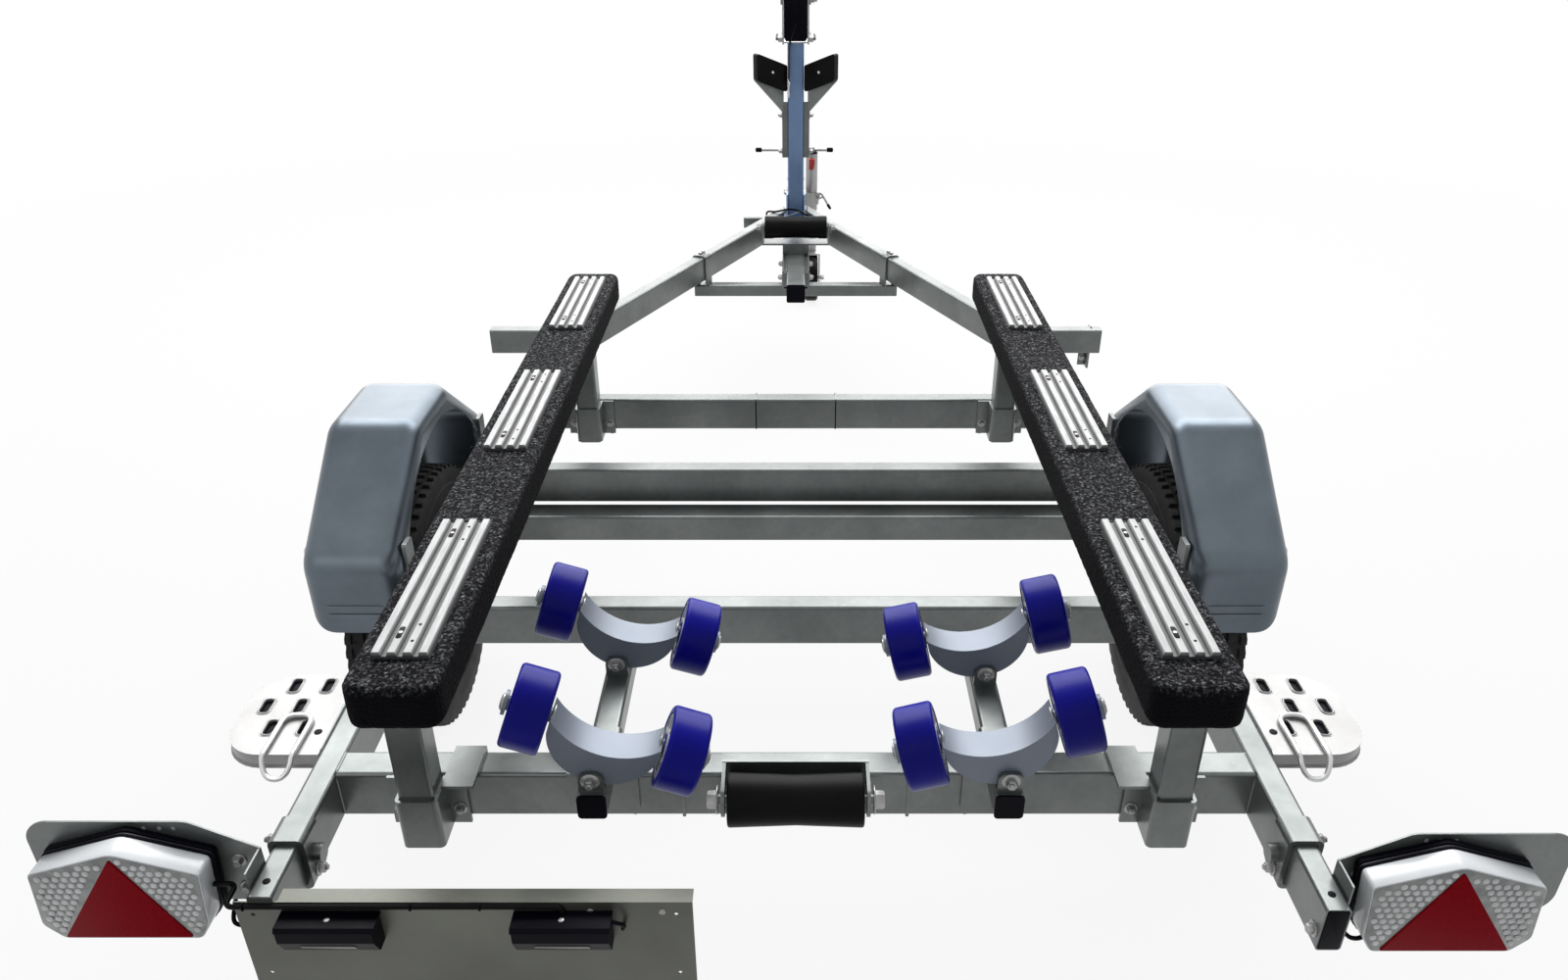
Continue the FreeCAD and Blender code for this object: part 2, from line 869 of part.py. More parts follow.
def build_frame():
    part("side_rails", together("SideRails", [side_rail(f"rail_{word}", side) for word, side in SIDES]))
    part("drawbar_arms", together("DrawbarArms", [drawbar_arm(f"arm_{word}", side) for word, side in SIDES]))
    part("rear_beam", cross_beam("RearBeam", -size("rear_beam_reach"), size("rear_beam_depth")))
    part("cross_beams", together("CrossBeams", [
        cross_beam("MiddleBeam", -size("middle_beam_reach"), size("beam_depth")),
        cross_beam("AxleBeam", size("axle_beam_reach"), size("beam_depth")),
        cross_beam("FrontBeam", size("front_beam_reach"), size("beam_depth"))]
        + [outrigger(f"outrigger_{word}", side) for word, side in SIDES]))


# Drawbar
def build_drawbar():
    wall = size("channel_wall")
    low = DRAWBAR_BOTTOM - wall
    high = size("drawbar_top")
    gap = keep("channel_gap", CHANNEL_HALF - wall - size("drawbar_size") / 2)
    channel_length = size("channel_front") - size("channel_rear")
    inner = CHANNEL_HALF - wall
    section = [(-CHANNEL_HALF, high), (-CHANNEL_HALF, low, size("tube_corner") + wall),
               (CHANNEL_HALF, low, size("tube_corner") + wall), (CHANNEL_HALF, high), (inner, high),
               (inner, DRAWBAR_BOTTOM, size("tube_corner")), (-inner, DRAWBAR_BOTTOM, size("tube_corner")),
               (-inner, high)]
    channel = extrusion("Channel", "Y", [section], along(size("channel_rear")), channel_length)
    packers = [
        block(f"channel_packer_{word}", side * inner if side < 0 else inner - gap,
              side * inner + gap if side < 0 else inner,
              along(size("channel_rear")), along(size("channel_front")),
              DRAWBAR_BOTTOM + size("tube_corner"), high - size("tube_corner"))
        for word, side in SIDES]
    part("drawbar_channel", fuse("DrawbarChannel", [channel] + packers))
    part("drawbar_tube", extrusion(
        "DrawbarTube", "Y",
        box_section(size("drawbar_size"), size("drawbar_size"), size("drawbar_wall"), size("tube_corner"),
                    0, DRAWBAR_MIDDLE),
        along(size("drawbar_rear")), size("drawbar_front") - size("drawbar_rear")))


def cross_tube_strap(name, side):
    """A strap bent up round a drawbar arm from the tube hung below it."""
    thickness = size("strap_thickness")
    half_width = size("strap_width") / 2
    top = size("frame_top")
    bottom = DRAWBAR_BOTTOM - size("channel_wall")
    reach = size("cross_tube_reach") + size("cross_tube_size") / 2 - size("rail_bend")
    run = reach / cosine(size("arm_angle"))
    middle = -size("rail_width") / 2 * side
    half = size("rail_width") / 2
    wide = half + thickness
    corner = size("tube_corner")
    outline = [(middle - wide, bottom), (middle - half, bottom), (middle - half, top, corner),
               (middle + half, top, corner), (middle + half, bottom), (middle + wide, bottom),
               (middle + wide, top + thickness, corner + thickness),
               (middle - wide, top + thickness, corner + thickness)]
    strap = extrusion(name, "Y", [outline], run - half_width, size("strap_width"))
    return turned_at_bend(strap, side)


def build_cross_tube():
    top = DRAWBAR_BOTTOM - size("channel_wall")
    half = size("cross_tube_size") / 2
    tube = extrusion(
        "CrossTube", "X",
        box_section(size("cross_tube_size"), size("cross_tube_size"), size("rail_wall"), size("tube_corner"),
                    along(size("cross_tube_reach")) + half, top - half),
        -size("cross_tube_length") / 2, size("cross_tube_length"))
    straps = [cross_tube_strap(f"strap_{word}", side) for word, side in SIDES]
    part("drawbar_cross_tube", fuse("DrawbarCrossTube", [tube] + straps))


# Axle
def build_axle():
    half = size("axle_size") / 2
    middle = along(size("swing_arm_lead"))
    tube = extrusion(
        "AxleTube", "X",
        box_section(size("axle_size"), size("axle_size"), size("axle_wall"), size("tube_corner"),
                    middle, AXLE_Z),
        -AXLE_END, AXLE_END * 2)
    saddles = []
    front = along(size("axle_beam_reach"))
    for word, side in SIDES:
        plate = size("saddle_thickness")
        reach = size("saddle_length") / 2
        high = FRAME_BOTTOM + size("rail_height") / 2
        left = RAIL_INNER - plate if side > 0 else -RAIL_INNER
        outline = [(middle - reach, FRAME_BOTTOM), (middle - half, AXLE_Z), (middle + half, AXLE_Z),
                   (front, FRAME_BOTTOM), (front, high), (middle - reach, high, plate)]
        saddles.append(extrusion(f"saddle_{word}", "X", [outline], left, plate))
    hollow = block("axle_hollow", -AXLE_END - MARGIN, AXLE_END + MARGIN,
                   middle - half + size("axle_wall"), middle + half - size("axle_wall"),
                   AXLE_Z - half + size("axle_wall"), AXLE_Z + half - size("axle_wall"))
    part("axle_beam", cut("AxleBeamWelded", fuse("axle_welded", [tube] + saddles), hollow))


def swing_arm(name, side):
    """A trailing arm from the axle tube's end down to the wheel, with its spindle."""
    thickness = size("swing_arm_thickness")
    inner = AXLE_END + size("axle_gap")
    left = inner if side > 0 else -(inner + thickness)
    lead = size("swing_arm_lead")
    drop = AXLE_Z - WHEEL_Z
    run = root(lead * lead + drop * drop)
    half = size("swing_arm_eye") / 2
    forward = (lead / run, drop / run)
    across = (-drop / run, lead / run)
    corners = []
    for place, turn in ((1, -1), (1, 1), (0, 1), (0, -1)):
        reach = half if place else -half
        base_y = along(lead) if place else WHEEL_Y
        base_z = AXLE_Z if place else WHEEL_Z
        corners.append((base_y + forward[0] * reach + across[0] * half * turn,
                        base_z + forward[1] * reach + across[1] * half * turn, half * ROUND_SHARE))
    arm = extrusion(f"{name}_arm", "X", [corners], left, thickness)
    stub_start = inner - size("axle_gap") - MARGIN if side > 0 else -(inner + thickness / 2)
    bar = cylinder(f"{name}_bar", "X", size("axle_size") / 2 - size("axle_wall") - size("swing_bar_gap"),
                   stub_start,
                   thickness / 2 + size("axle_gap") + MARGIN, (along(lead), AXLE_Z))
    spindle_end = WHEEL_X + size("rim_offset") + size("spindle_beyond")
    spindle_start = inner + thickness / 2 if side > 0 else -spindle_end
    spindle = cylinder(f"{name}_spindle", "X", size("hub_bore") / 2 - size("spindle_clearance"),
                       spindle_start, spindle_end - inner - thickness / 2, (WHEEL_Y, WHEEL_Z))
    return fuse(name, [arm, bar, spindle])


def build_swing_arms():
    part("swing_arms", together("SwingArms", [swing_arm(f"swing_{word}", side) for word, side in SIDES]))


# Wheels, drawn about the X axis at the wheel's own middle
def at_wheel(thing, side):
    return put(thing, WHEEL_X * side, WHEEL_Y, WHEEL_Z)


def build_wheel(word, side):
    outer = size("tyre_diameter") / 2
    bead = size("rim_diameter") / 2
    half = size("tyre_width") / 2
    wall = size("tyre_wall")
    rim_half = size("rim_width") / 2
    sheet = size("rim_sheet")
    lip = bead + size("rim_lip")
    seat = rim_half - sheet - size("bead_gap")
    heel = bead + size("bead_gap")
    belly = (outer + bead) / 2
    shoulder = size("tyre_shoulder")
    tread = outer - size("tyre_tread")
    tyre_loop = [
        (-seat, heel), (-seat, lip, wall / 2), (-half, belly, wall * 2), (-half + wall / 2, outer, shoulder),
        (half - wall / 2, outer, shoulder), (half, belly, wall * 2), (seat, lip, wall / 2), (seat, heel),
        (seat - wall, heel), (half - wall, belly, wall), (half - wall, tread, wall),
        (-half + wall, tread, wall), (-half + wall, belly, wall), (-seat + wall, heel)]
    tyre = revolution(f"Tyre_{word}", "H_Axis", [tyre_loop], "Z")
    part(f"tyre_{word}", at_wheel(tyre, side))
    well = bead - size("rim_well")
    barrel_loop = [
        (-rim_half, lip), (-rim_half, bead - sheet, sheet * 2), (-rim_half + wall * 2, bead - sheet),
        (-wall, well - sheet), (wall, well - sheet), (rim_half - wall * 2, bead - sheet),
        (rim_half, bead - sheet, sheet * 2), (rim_half, lip), (rim_half - sheet, lip),
        (rim_half - sheet, bead), (rim_half - wall * 2, bead), (wall, well), (-wall, well),
        (-rim_half + wall * 2, bead), (-rim_half + sheet, bead), (-rim_half + sheet, lip)]
    offset = size("rim_offset") * side
    hub = size("hub_diameter") / 2
    bore = size("hub_bore") / 2
    flange = size("hub_flange") / 2
    thick = size("disc_sheet")
    dish = size("disc_dish")
    hub_back = size("hub_back")
    cap_out = size("cap_out")
    disc_loop = [
        (offset, bore), (offset, flange, sheet), (offset + wall * side, flange + wall * 2, wall),
        (offset - dish * side, well - wall, sheet), (offset - dish * side, well - sheet / 2),
        (offset - (dish + thick) * side, well - sheet / 2),
        (offset - (dish + thick) * side, well - wall, sheet),
        (offset + (wall - thick) * side, flange + wall * 2, wall), (offset - thick * side, flange, sheet),
        (offset - thick * side - wall * side, flange), (offset - thick * side - wall * side, hub),
        (offset - hub_back * side, hub, sheet), (offset - hub_back * side, bore)]
    cap_loop = [
        (offset, bore + sheet), (offset, hub - sheet), (offset + wall * side, hub - sheet * 2),
        (offset + cap_out * side, hub - sheet * 3, sheet), (offset + cap_out * side, 0),
        (offset + (cap_out - sheet) * side, 0), (offset + (cap_out - sheet) * side, bore + sheet, sheet)]
    barrel = revolution(f"Barrel_{word}", "H_Axis", [barrel_loop], "Z")
    disc = revolution(f"Disc_{word}", "H_Axis", [disc_loop], "Z")
    cap = revolution(f"Cap_{word}", "H_Axis", [cap_loop], "Z")
    rim = fuse(f"Rim_{word}", [barrel, disc, cap])
    part(f"rim_{word}", at_wheel(rim, side))


# Mudguards, a six-sided arch with rounded edges
def guard_outline(shrink):
    """The arch seen from the side, inset by the sheet for its inner skin, which runs out below."""
    half = size("guard_length") / 2 - shrink
    flat_half = size("guard_flat") / 2
    top = size("guard_top") - shrink
    shoulder = size("guard_shoulder")
    low = size("guard_drop") - shrink * 2
    bend = size("guard_bend") - shrink
    return [(WHEEL_Y - half, low), (WHEEL_Y - half, shoulder, bend), (WHEEL_Y - flat_half, top, bend),
            (WHEEL_Y + flat_half, top, bend), (WHEEL_Y + half, shoulder, bend), (WHEEL_Y + half, low)]


def build_guard(word, side):
    sheet = size("guard_sheet")
    width = size("guard_width")
    left = WHEEL_X * side - width / 2
    shells = []
    for name, shrink in (("outer", as_value(0)), ("inner", sheet)):
        body = new_body(f"guard_{word}_{name}")
        arch = pad(body, "X", [guard_outline(shrink)], left + shrink, width - 2 * shrink)
        shape = shape_of(arch)
        low = shape.BoundBox.ZMin
        edges = []
        for index, edge in enumerate(shape.Edges, start=1):
            box = edge.BoundBox
            at_side = min(abs(box.XMin - shape.BoundBox.XMin), abs(box.XMax - shape.BoundBox.XMax)) < TOLERANCE
            if at_side and box.XLength < TOLERANCE and not box.ZMax < low + TOLERANCE:
                edges.append(f"Edge{index}")
        round_edges(body, arch, edges, size("guard_round") - shrink)
        shells.append(body)
    shell = cut(f"guard_{word}_shell", *shells)
    middle = WHEEL_X * side
    arches = []
    openings = (("inner", size("guard_arch_inner"), -side), ("outer", size("guard_arch_outer"), side))
    for name, radius, way in openings:
        start = middle - width / 2 - MARGIN if way < 0 else middle
        arches.append(cylinder(f"guard_{word}_{name}_arch", "X", radius, start, width / 2 + MARGIN,
                               (WHEEL_Y, WHEEL_Z + size("guard_arch_rise"))))
    corner = size("guard_corner")
    low = size("guard_drop")
    outer = middle + width / 2 * side
    near = outer - corner * side
    rear = WHEEL_Y - size("guard_length")
    run = size("guard_length") * 2
    square = block(f"guard_{word}_corner_block", near if side > 0 else outer - MARGIN,
                   outer + MARGIN if side > 0 else near, rear, rear + run, low - MARGIN, low + corner)
    rounding = cylinder(f"guard_{word}_corner_round", "Y", corner, rear - MARGIN, run + 2 * MARGIN,
                        (near, low + corner))
    tools = arches + [cut(f"guard_{word}_corner", square, rounding)]
    part(f"mudguard_{word}", cut(f"Mudguard_{word}", shell, fuse(f"guard_{word}_openings", tools)))


def guard_stay(name, side, end):
    """A flat bar packed between the rail's outer face and the mudguard's inner panel."""
    panel = WHEEL_X - size("guard_width") / 2
    half = size("stay_width") / 2
    middle = along(size("stay_reach") * end)
    left = RAIL_OUTER if side > 0 else -panel
    return extrusion(name, "X", [rectangle(middle - half, middle + half, FRAME_BOTTOM + size("tube_corner"),
                                           size("frame_top") + size("stay_rise"), half / 3)],
                     left, panel - RAIL_OUTER)


def build_guards():
    for word, side in SIDES:
        build_guard(word, side)
    part("mudguard_brackets", together("MudguardBrackets", [
        guard_stay(f"stay_{word}_{end_word}", side, end)
        for word, side in SIDES for end_word, end in (("rear", -1), ("front", 1))]))


# Bunks and their posts
def build_bunk(word, side):
    half = size("bunk_width") / 2
    round_end = size("bunk_end_round")
    body = new_body(f"Bunk_{word}")
    board = pad(body, "Z",
                [rectangle(BUNK_X * side - half, BUNK_X * side + half, along(-size("bunk_rear")),
                           along(size("bunk_front")), round_end)], BUNK_BOTTOM, size("bunk_thickness"))
    edges = [f"Edge{index}" for index, edge in enumerate(shape_of(board).Edges, start=1)
             if edge.BoundBox.ZLength < TOLERANCE]
    round_edges(body, board, edges, size("bunk_edge_round"))
    part(f"bunk_{word}", body)


def strip_section(centre):
    """A flat strip with four ridges."""
    half = size("strip_width") / 2
    base = size("bunk_top")
    low = base + size("strip_base")
    high = base + size("strip_height")
    rib = size("strip_rib")
    taper = size("strip_taper")
    valley = (size("strip_width") - rib * RIDGES) / (RIDGES - 1)
    corners = [(centre + half, base), (centre - half, base)]
    for number in range(RIDGES):
        left = centre - half + (rib + valley) * number
        if number:
            corners.append((left, low))
        corners.append((left + taper, high, size("strip_round")))
        corners.append((left + rib - taper, high, size("strip_round")))
        if number < RIDGES - 1:
            corners.append((left + rib, low))
    return corners


def build_strips():
    run = size("bunk_rear") + size("bunk_front") - 2 * size("strip_overhang") - size("strip_length")
    strips = []
    for word, side in SIDES:
        for number in range(3):
            start = along(-size("bunk_rear")) + size("strip_overhang") + run * (number / 2)
            strips.append(extrusion(f"Strip_{word}_{number}", "Y", [strip_section(BUNK_X * side)],
                                    start, size("strip_length")))
    part("bunk_strips", together("BunkStrips", strips))


def beam_face(end):
    """The rear face of the beam that carries the bunk posts at one end, from the wheel centre."""
    return -size("rear_beam_reach") if end == "rear" else size("front_beam_reach")


def post_place(end, side):
    spread = size(f"{end}_post_spread")
    return spread / 2 * side, along(beam_face(end)) - size("post_size") / 2


def bunk_post(end, word, side):
    x, y = post_place(end, side)
    bottom = FRAME_BOTTOM - size("post_below")
    head_bottom = BUNK_BOTTOM - size("head_thickness")
    tube = extrusion(f"post_{end}_{word}_tube", "Z",
                     box_section(size("post_size"), size("post_size"), size("post_wall"), size("tube_corner"),
                                 x, y), bottom, head_bottom - bottom)
    half = size("head_width") / 2
    middle = BUNK_X * side
    head = block(f"post_{end}_{word}_head", middle - half, middle + half, y - size("head_length") / 2,
                 y + size("head_length") / 2, head_bottom, BUNK_BOTTOM)
    return fuse(f"post_{end}_{word}", [tube, head])


def post_clamp(end, word, side):
    """A folded plate round three sides of the post, with flanges flat on the beam's face."""
    x, y = post_place(end, side)
    wall = size("clamp_wall")
    half = size("post_size") / 2
    face = along(beam_face(end))
    back = y - half
    wide = half + wall + size("clamp_flange")
    top = size("frame_top") - size("clamp_drop")
    outline = [
        (x - wide, face), (x - wide, face - wall), (x - half - wall, face - wall),
        (x - half - wall, back - wall, wall * FOLD), (x + half + wall, back - wall, wall * FOLD),
        (x + half + wall, face - wall), (x + wide, face - wall), (x + wide, face), (x + half, face),
        (x + half, back), (x - half, back), (x - half, face)]
    return extrusion(f"clamp_{end}_{word}", "Z", [outline], top - size("clamp_height"), size("clamp_height"))


def beam_plate(word, side):
    """A plate laid on the rear beam beside the post, its front edge turned down."""
    sheet = size("beam_plate_sheet")
    inner = post_place("rear", side)[0] * side - size("post_size") / 2 - size("clamp_wall")
    left = (inner - size("beam_plate_width")) * side if side > 0 else inner * side
    rear = along(-size("rear_beam_reach"))
    front = rear + size("rear_beam_depth")
    flat = block(f"beam_plate_{word}_flat", left, left + size("beam_plate_width"),
                 rear - size("beam_plate_over"), front + sheet, size("frame_top"), size("frame_top") + sheet)
    lip = block(f"beam_plate_{word}_lip", left, left + size("beam_plate_width"), front, front + sheet,
                size("frame_top") - size("beam_plate_lip"), size("frame_top") + sheet)
    return fuse(f"beam_plate_{word}", [flat, lip])


def build_posts():
    ends = ("rear", "front")
    part("bunk_posts", together("BunkPosts", [
        bunk_post(end, word, side) for end in ends for word, side in SIDES]))
    part("beam_clamps", together("BeamClamps", [
        post_clamp(end, word, side) for end in ends for word, side in SIDES]
        + [arm_strap(f"arm_strap_{word}", side) for word, side in SIDES]
        + [beam_plate(word, side) for word, side in SIDES]))


# Roller arms, cradles and rollers
CRADLES = [("rear", "left", -1), ("rear", "right", 1), ("front", "left", -1), ("front", "right", 1)]


def arm_x(side):
    """Where a roller arm's middle stands across the trailer."""
    return size("roller_arm_left") * side if side < 0 else size("roller_arm_right")


def cradle_place(place, side):
    """Where a cradle stands behind the wheel centre; the front two are staggered."""
    if place == "rear":
        return size("cradle_rear")
    return size("cradle_front_left" if side < 0 else "cradle_front_right")


def roller_arm(name, side):
    arm_size = size("roller_arm_size")
    rear = along(-size("roller_arm_rear"))
    tube = extrusion(
        f"{name}_tube", "Y",
        box_section(arm_size, arm_size, size("rail_wall"), size("tube_corner"), arm_x(side),
                    size("frame_top") + arm_size / 2),
        rear, size("roller_arm_rear") - size("roller_arm_front"))
    pieces = [tube]
    half = size("lug_width") / 2
    for place in ("rear", "front"):
        middle = along(-cradle_place(place, side))
        inner = size("cradle_depth") / 2 + size("lug_gap")
        for end in (-1, 1):
            start = middle + inner if end > 0 else middle - inner - size("lug_thickness")
            lug = extrusion(
                f"{name}_{place}_lug{end + 1}", "Y",
                [[(arm_x(side) - half, ARM_TOP - OVERLAP), (arm_x(side) + half, ARM_TOP - OVERLAP),
                  (arm_x(side) + half, ARM_TOP + size("lug_height"), size("lug_round")),
                  (arm_x(side) - half, ARM_TOP + size("lug_height"), size("lug_round"))]],
                start, size("lug_thickness"))
            pieces.append(lug)
        pieces.append(cylinder(f"{name}_{place}_pin", "Y", size("cradle_pin") / 2,
                               middle - inner - size("lug_thickness"),
                               2 * inner + 2 * size("lug_thickness"), (arm_x(side), PIVOT_Z)))
    return fuse(name, pieces)


def arm_strap(name, side):
    """A strap over the roller arm, with its two feet down the beam's faces."""
    thickness = size("strap_thickness")
    half = size("roller_arm_size") / 2
    x = arm_x(side)
    wide = half + thickness
    top = ARM_TOP + thickness
    bend = thickness * FOLD
    outline = [(x - wide, size("frame_top")), (x - wide, top, bend), (x + wide, top, bend),
               (x + wide, size("frame_top")), (x + half, size("frame_top")), (x + half, ARM_TOP),
               (x - half, ARM_TOP), (x - half, size("frame_top"))]
    depth = size("rear_beam_depth")
    rear = along(-size("rear_beam_reach"))
    band = extrusion(f"{name}_band", "Y", [outline], rear, depth)
    pieces = [band]
    for end in (-1, 1):
        left = x + wide - OVERLAP if end > 0 else x - wide - size("clamp_flange")
        right = left + size("clamp_flange") + OVERLAP
        foot = block(f"{name}_foot{end + 1}", left, right, rear, rear + depth, size("frame_top"),
                     size("frame_top") + thickness)
        apron = block(f"{name}_apron{end + 1}", left, right, rear - thickness, rear,
                      FRAME_BOTTOM + MARGIN, size("frame_top") + thickness)
        pieces += [foot, apron]
    return fuse(name, pieces)


def crescent_loop():
    """The cradle's crescent about its pivot: a hollow upper arc between blunt tips over a round belly."""
    rise = size("roller_axis_rise")
    half = size("roller_spacing") / 2 - size("roller_width") / 2 - size("roller_side_gap")
    hollow = size("cradle_hollow")
    tip = rise + size("cradle_tip")
    low = rise - size("cradle_tip")
    drop = size("cradle_belly") - size("cradle_tip")
    upper = keep("cradle_upper_arc", (half * half + hollow * hollow) / (2 * hollow))
    lower = keep("cradle_lower_arc", (half * half + drop * drop) / (2 * drop))
    return [(-half, low, 0, lower), (half, low, 0, None), (half, tip, 0, -upper), (-half, tip, 0, None)]


def build_cradles():
    loop = crescent_loop()
    for place, word, side in CRADLES:
        name = f"{place}_{word}"
        depth = size("cradle_depth")
        rise = size("roller_axis_rise")
        half = size("roller_spacing") / 2 + size("roller_width") / 2 + size("roller_side_gap")
        inner = size("roller_spacing") / 2 - size("roller_width") / 2 - size("roller_side_gap")
        crescent = extrusion(f"Crescent_{name}", "Y", [loop], -depth / 2, depth)
        boss = cylinder(f"boss_{name}", "Y", size("cradle_boss") / 2, -depth / 2, depth, (0, 0))
        pieces = [crescent, boss]
        for end in (-1, 1):
            start = inner - size("stub_length") if end > 0 else -half
            pieces.append(cylinder(f"stub_{name}_{end}", "X", size("roller_shaft") / 2, start,
                                   half - inner + size("stub_length"), (0, rise)))
            pieces.append(cylinder(f"head_{name}_{end}", "X", size("shaft_head") / 2,
                                   half if end > 0 else -half - size("shaft_head_length"),
                                   size("shaft_head_length"), (0, rise)))
        whole = fuse(f"cradle_{name}_solid", pieces)
        bore = cylinder(f"bore_{name}", "Y", size("cradle_pin") / 2 + size("pin_clearance"), -depth, depth * 2,
                        (0, 0))
        cradle = cut(f"Cradle_{name}", whole, bore)
        tilt = size(f"tilt_{name}")
        put(cradle, arm_x(side), along(-cradle_place(place, side)), PIVOT_Z, (0, 1, 0), tilt * -side)
        part(f"cradle_{name}", cradle)
        build_rollers(name, place, side, tilt)


def roller_profile():
    """Half the section of a roller about its shaft, along X."""
    half = size("roller_width") / 2
    outer = size("roller_diameter") / 2
    bore = size("roller_bore") / 2
    rim = outer - size("roller_rim")
    recess = half - size("roller_recess")
    core = bore + size("roller_rim") / 2
    return [(-half, bore), (-half, core), (-recess, core), (-recess, rim), (-half, rim),
            (-half, outer, size("roller_round")), (half, outer, size("roller_round")), (half, rim),
            (recess, rim), (recess, core), (half, core), (half, bore)]


def build_rollers(name, place, side, tilt):
    rise = size("roller_axis_rise")
    reach = size("roller_spacing") / 2
    turn = tilt * -side
    for word, end in (("outer", side), ("inner", -side)):
        roller = revolution(f"Roller_{name}_{word}", "H_Axis", [roller_profile()], "Z")
        x = arm_x(side) + rise * sine(turn) + reach * cosine(turn) * end
        z = PIVOT_Z + rise * cosine(turn) - reach * sine(turn) * end
        put(roller, x, along(-cradle_place(place, side)), z, (0, 1, 0), turn)
        part(f"roller_{name}_{word}", roller)


def keel_roller(name, diameter, length, y, z):
    half = length / 2
    outer = diameter / 2
    bore = size("keel_bore") / 2
    waist = outer - size("keel_waist")
    rounding = size("keel_round")
    loop = [(-half, bore), (-half, outer, rounding), (rounding * 2 - half, outer), (0, waist),
            (half - rounding * 2, outer), (half, outer, rounding), (half, bore)]
    roller = revolution(name, "H_Axis", [loop], "Z")
    return put(roller, 0, y, z)


def keel_bracket(name, length, y, z, seat_low, rear_seat):
    """A folded plate with an ear at each end of the roller and a pin through them."""
    ear = size("keel_ear")
    half = length / 2 + size("keel_end_gap")
    depth = size("keel_plate_depth")
    radius = MARGIN
    rounding = size("keel_ear_round")
    pieces = []
    for end in (-1, 1):
        left = half if end > 0 else -half - ear
        if rear_seat is None:
            outline = [(y - depth / 2, seat_low), (y + depth / 2, seat_low),
                       (y + depth / 4, z + radius, rounding),
                       (y - depth / 4, z + radius, rounding)]
        else:
            outline = [(rear_seat, z - depth / 2), (rear_seat, z + depth / 2),
                       (y - radius, z + radius, rounding),
                       (y - radius, z - radius, rounding)]
        pieces.append(extrusion(f"{name}_ear{end + 1}", "X", [outline], left, ear))
    if rear_seat is None:
        pieces.append(block(f"{name}_base", -half - ear, half + ear, y - depth / 2, y + depth / 2,
                            seat_low - ear, seat_low + OVERLAP / 2))
        pieces.append(block(f"{name}_foot", -CHANNEL_HALF, CHANNEL_HALF, y - depth / 2, y + depth / 2,
                            size("drawbar_top"), seat_low - ear + OVERLAP / 2))
    else:
        pieces.append(block(f"{name}_back", -half - ear, half + ear, rear_seat - ear, rear_seat,
                            z - depth / 2, z + depth / 2))
    pieces.append(cylinder(f"{name}_pin", "X", size("keel_pin") / 2, -half - ear * 2,
                           half * 2 + ear * 4, (y, z)))
    return fuse(name, pieces)


def build_keel_rollers():
    rear_y = keep("keel_rear_y", along(-size("rear_beam_reach")) - size("keel_ear")
                  - size("keel_rear_diameter") / 2 - size("keel_end_gap"))
    rear_z = size("frame_top") - size("keel_rear_drop")
    front_y = along(size("keel_front_reach"))
    front_seat = size("frame_top")
    front_z = front_seat + size("keel_front_diameter") / 2 + size("keel_seat_gap")
    part("keel_roller_rear", keel_roller("KeelRollerRear", size("keel_rear_diameter"),
                                         size("keel_rear_length"), rear_y, rear_z))
    part("keel_roller_front", keel_roller("KeelRollerFront", size("keel_front_diameter"),
                                          size("keel_front_length"), front_y, front_z))
    part("keel_brackets", together("KeelBrackets", [
        keel_bracket("KeelBracketRear", size("keel_rear_length"), rear_y, rear_z, None,
                     along(-size("rear_beam_reach"))),
        keel_bracket("KeelBracketFront", size("keel_front_length"), front_y, front_z, front_seat, None)]))


def build_rollers_and_arms():
    part("roller_arms", together("RollerArms", [roller_arm(f"roller_arm_{word}", side) for word, side in SIDES]))
    build_cradles()
    build_keel_rollers()


# Step plates
def step_plate(word, side):
    length = size("step_length")
    width = size("step_width")
    rear = along(-size("step_rear"))
    lip = size("step_lip")
    thickness = size("step_thickness")
    top = size("frame_top")
    round_end = size("step_round")

    def outline(inset):
        near = RAIL_OUTER * side
        far = (RAIL_OUTER + width - inset) * side
        return [(near, rear + inset), (far, rear + inset, round_end - inset),
                (far, rear + length - inset, round_end - inset), (near, rear + length - inset)]

    body = new_body(f"StepPlate_{word}")
    pad(body, "Z", [outline(0)], top - lip, lip)
    hollow = new_sketch(body, "Z", [outline(thickness)], (), top - lip)
    recess = body.newObject("PartDesign::Pocket", f"step_{word}_recess")
    recess.Profile = hollow
    recess.Reversed = True
    bind(recess, "Length", lip - thickness)
    half_length = size("step_hole_length") / 2
    half_width = size("step_hole_width") / 2

    def slot(column, row):
        x = (RAIL_OUTER + size("step_column_first") + size("step_column_pitch") * column) * side
        y = rear + size("step_row_first") + size("step_row_pitch") * row
        return rectangle(x - half_width, x + half_width, y - half_length, y + half_length,
                         half_width * ROUND_SHARE)

    pocket_through(body, "Z", [slot(1, 1), slot(3, 1)])
    rear_row = pocket_through(body, "Z", [slot(0, 0), slot(2, 0)])
    rows = body.newObject("PartDesign::LinearPattern", f"step_{word}_rows")
    rows.Originals = [rear_row]
    rows.Direction = (rear_row.Profile[0], ["V_Axis"])
    rows.Occurrences = 2
    bind(rows, "Length", size("step_row_pitch") * 2)
    body.Tip = rows
    return body


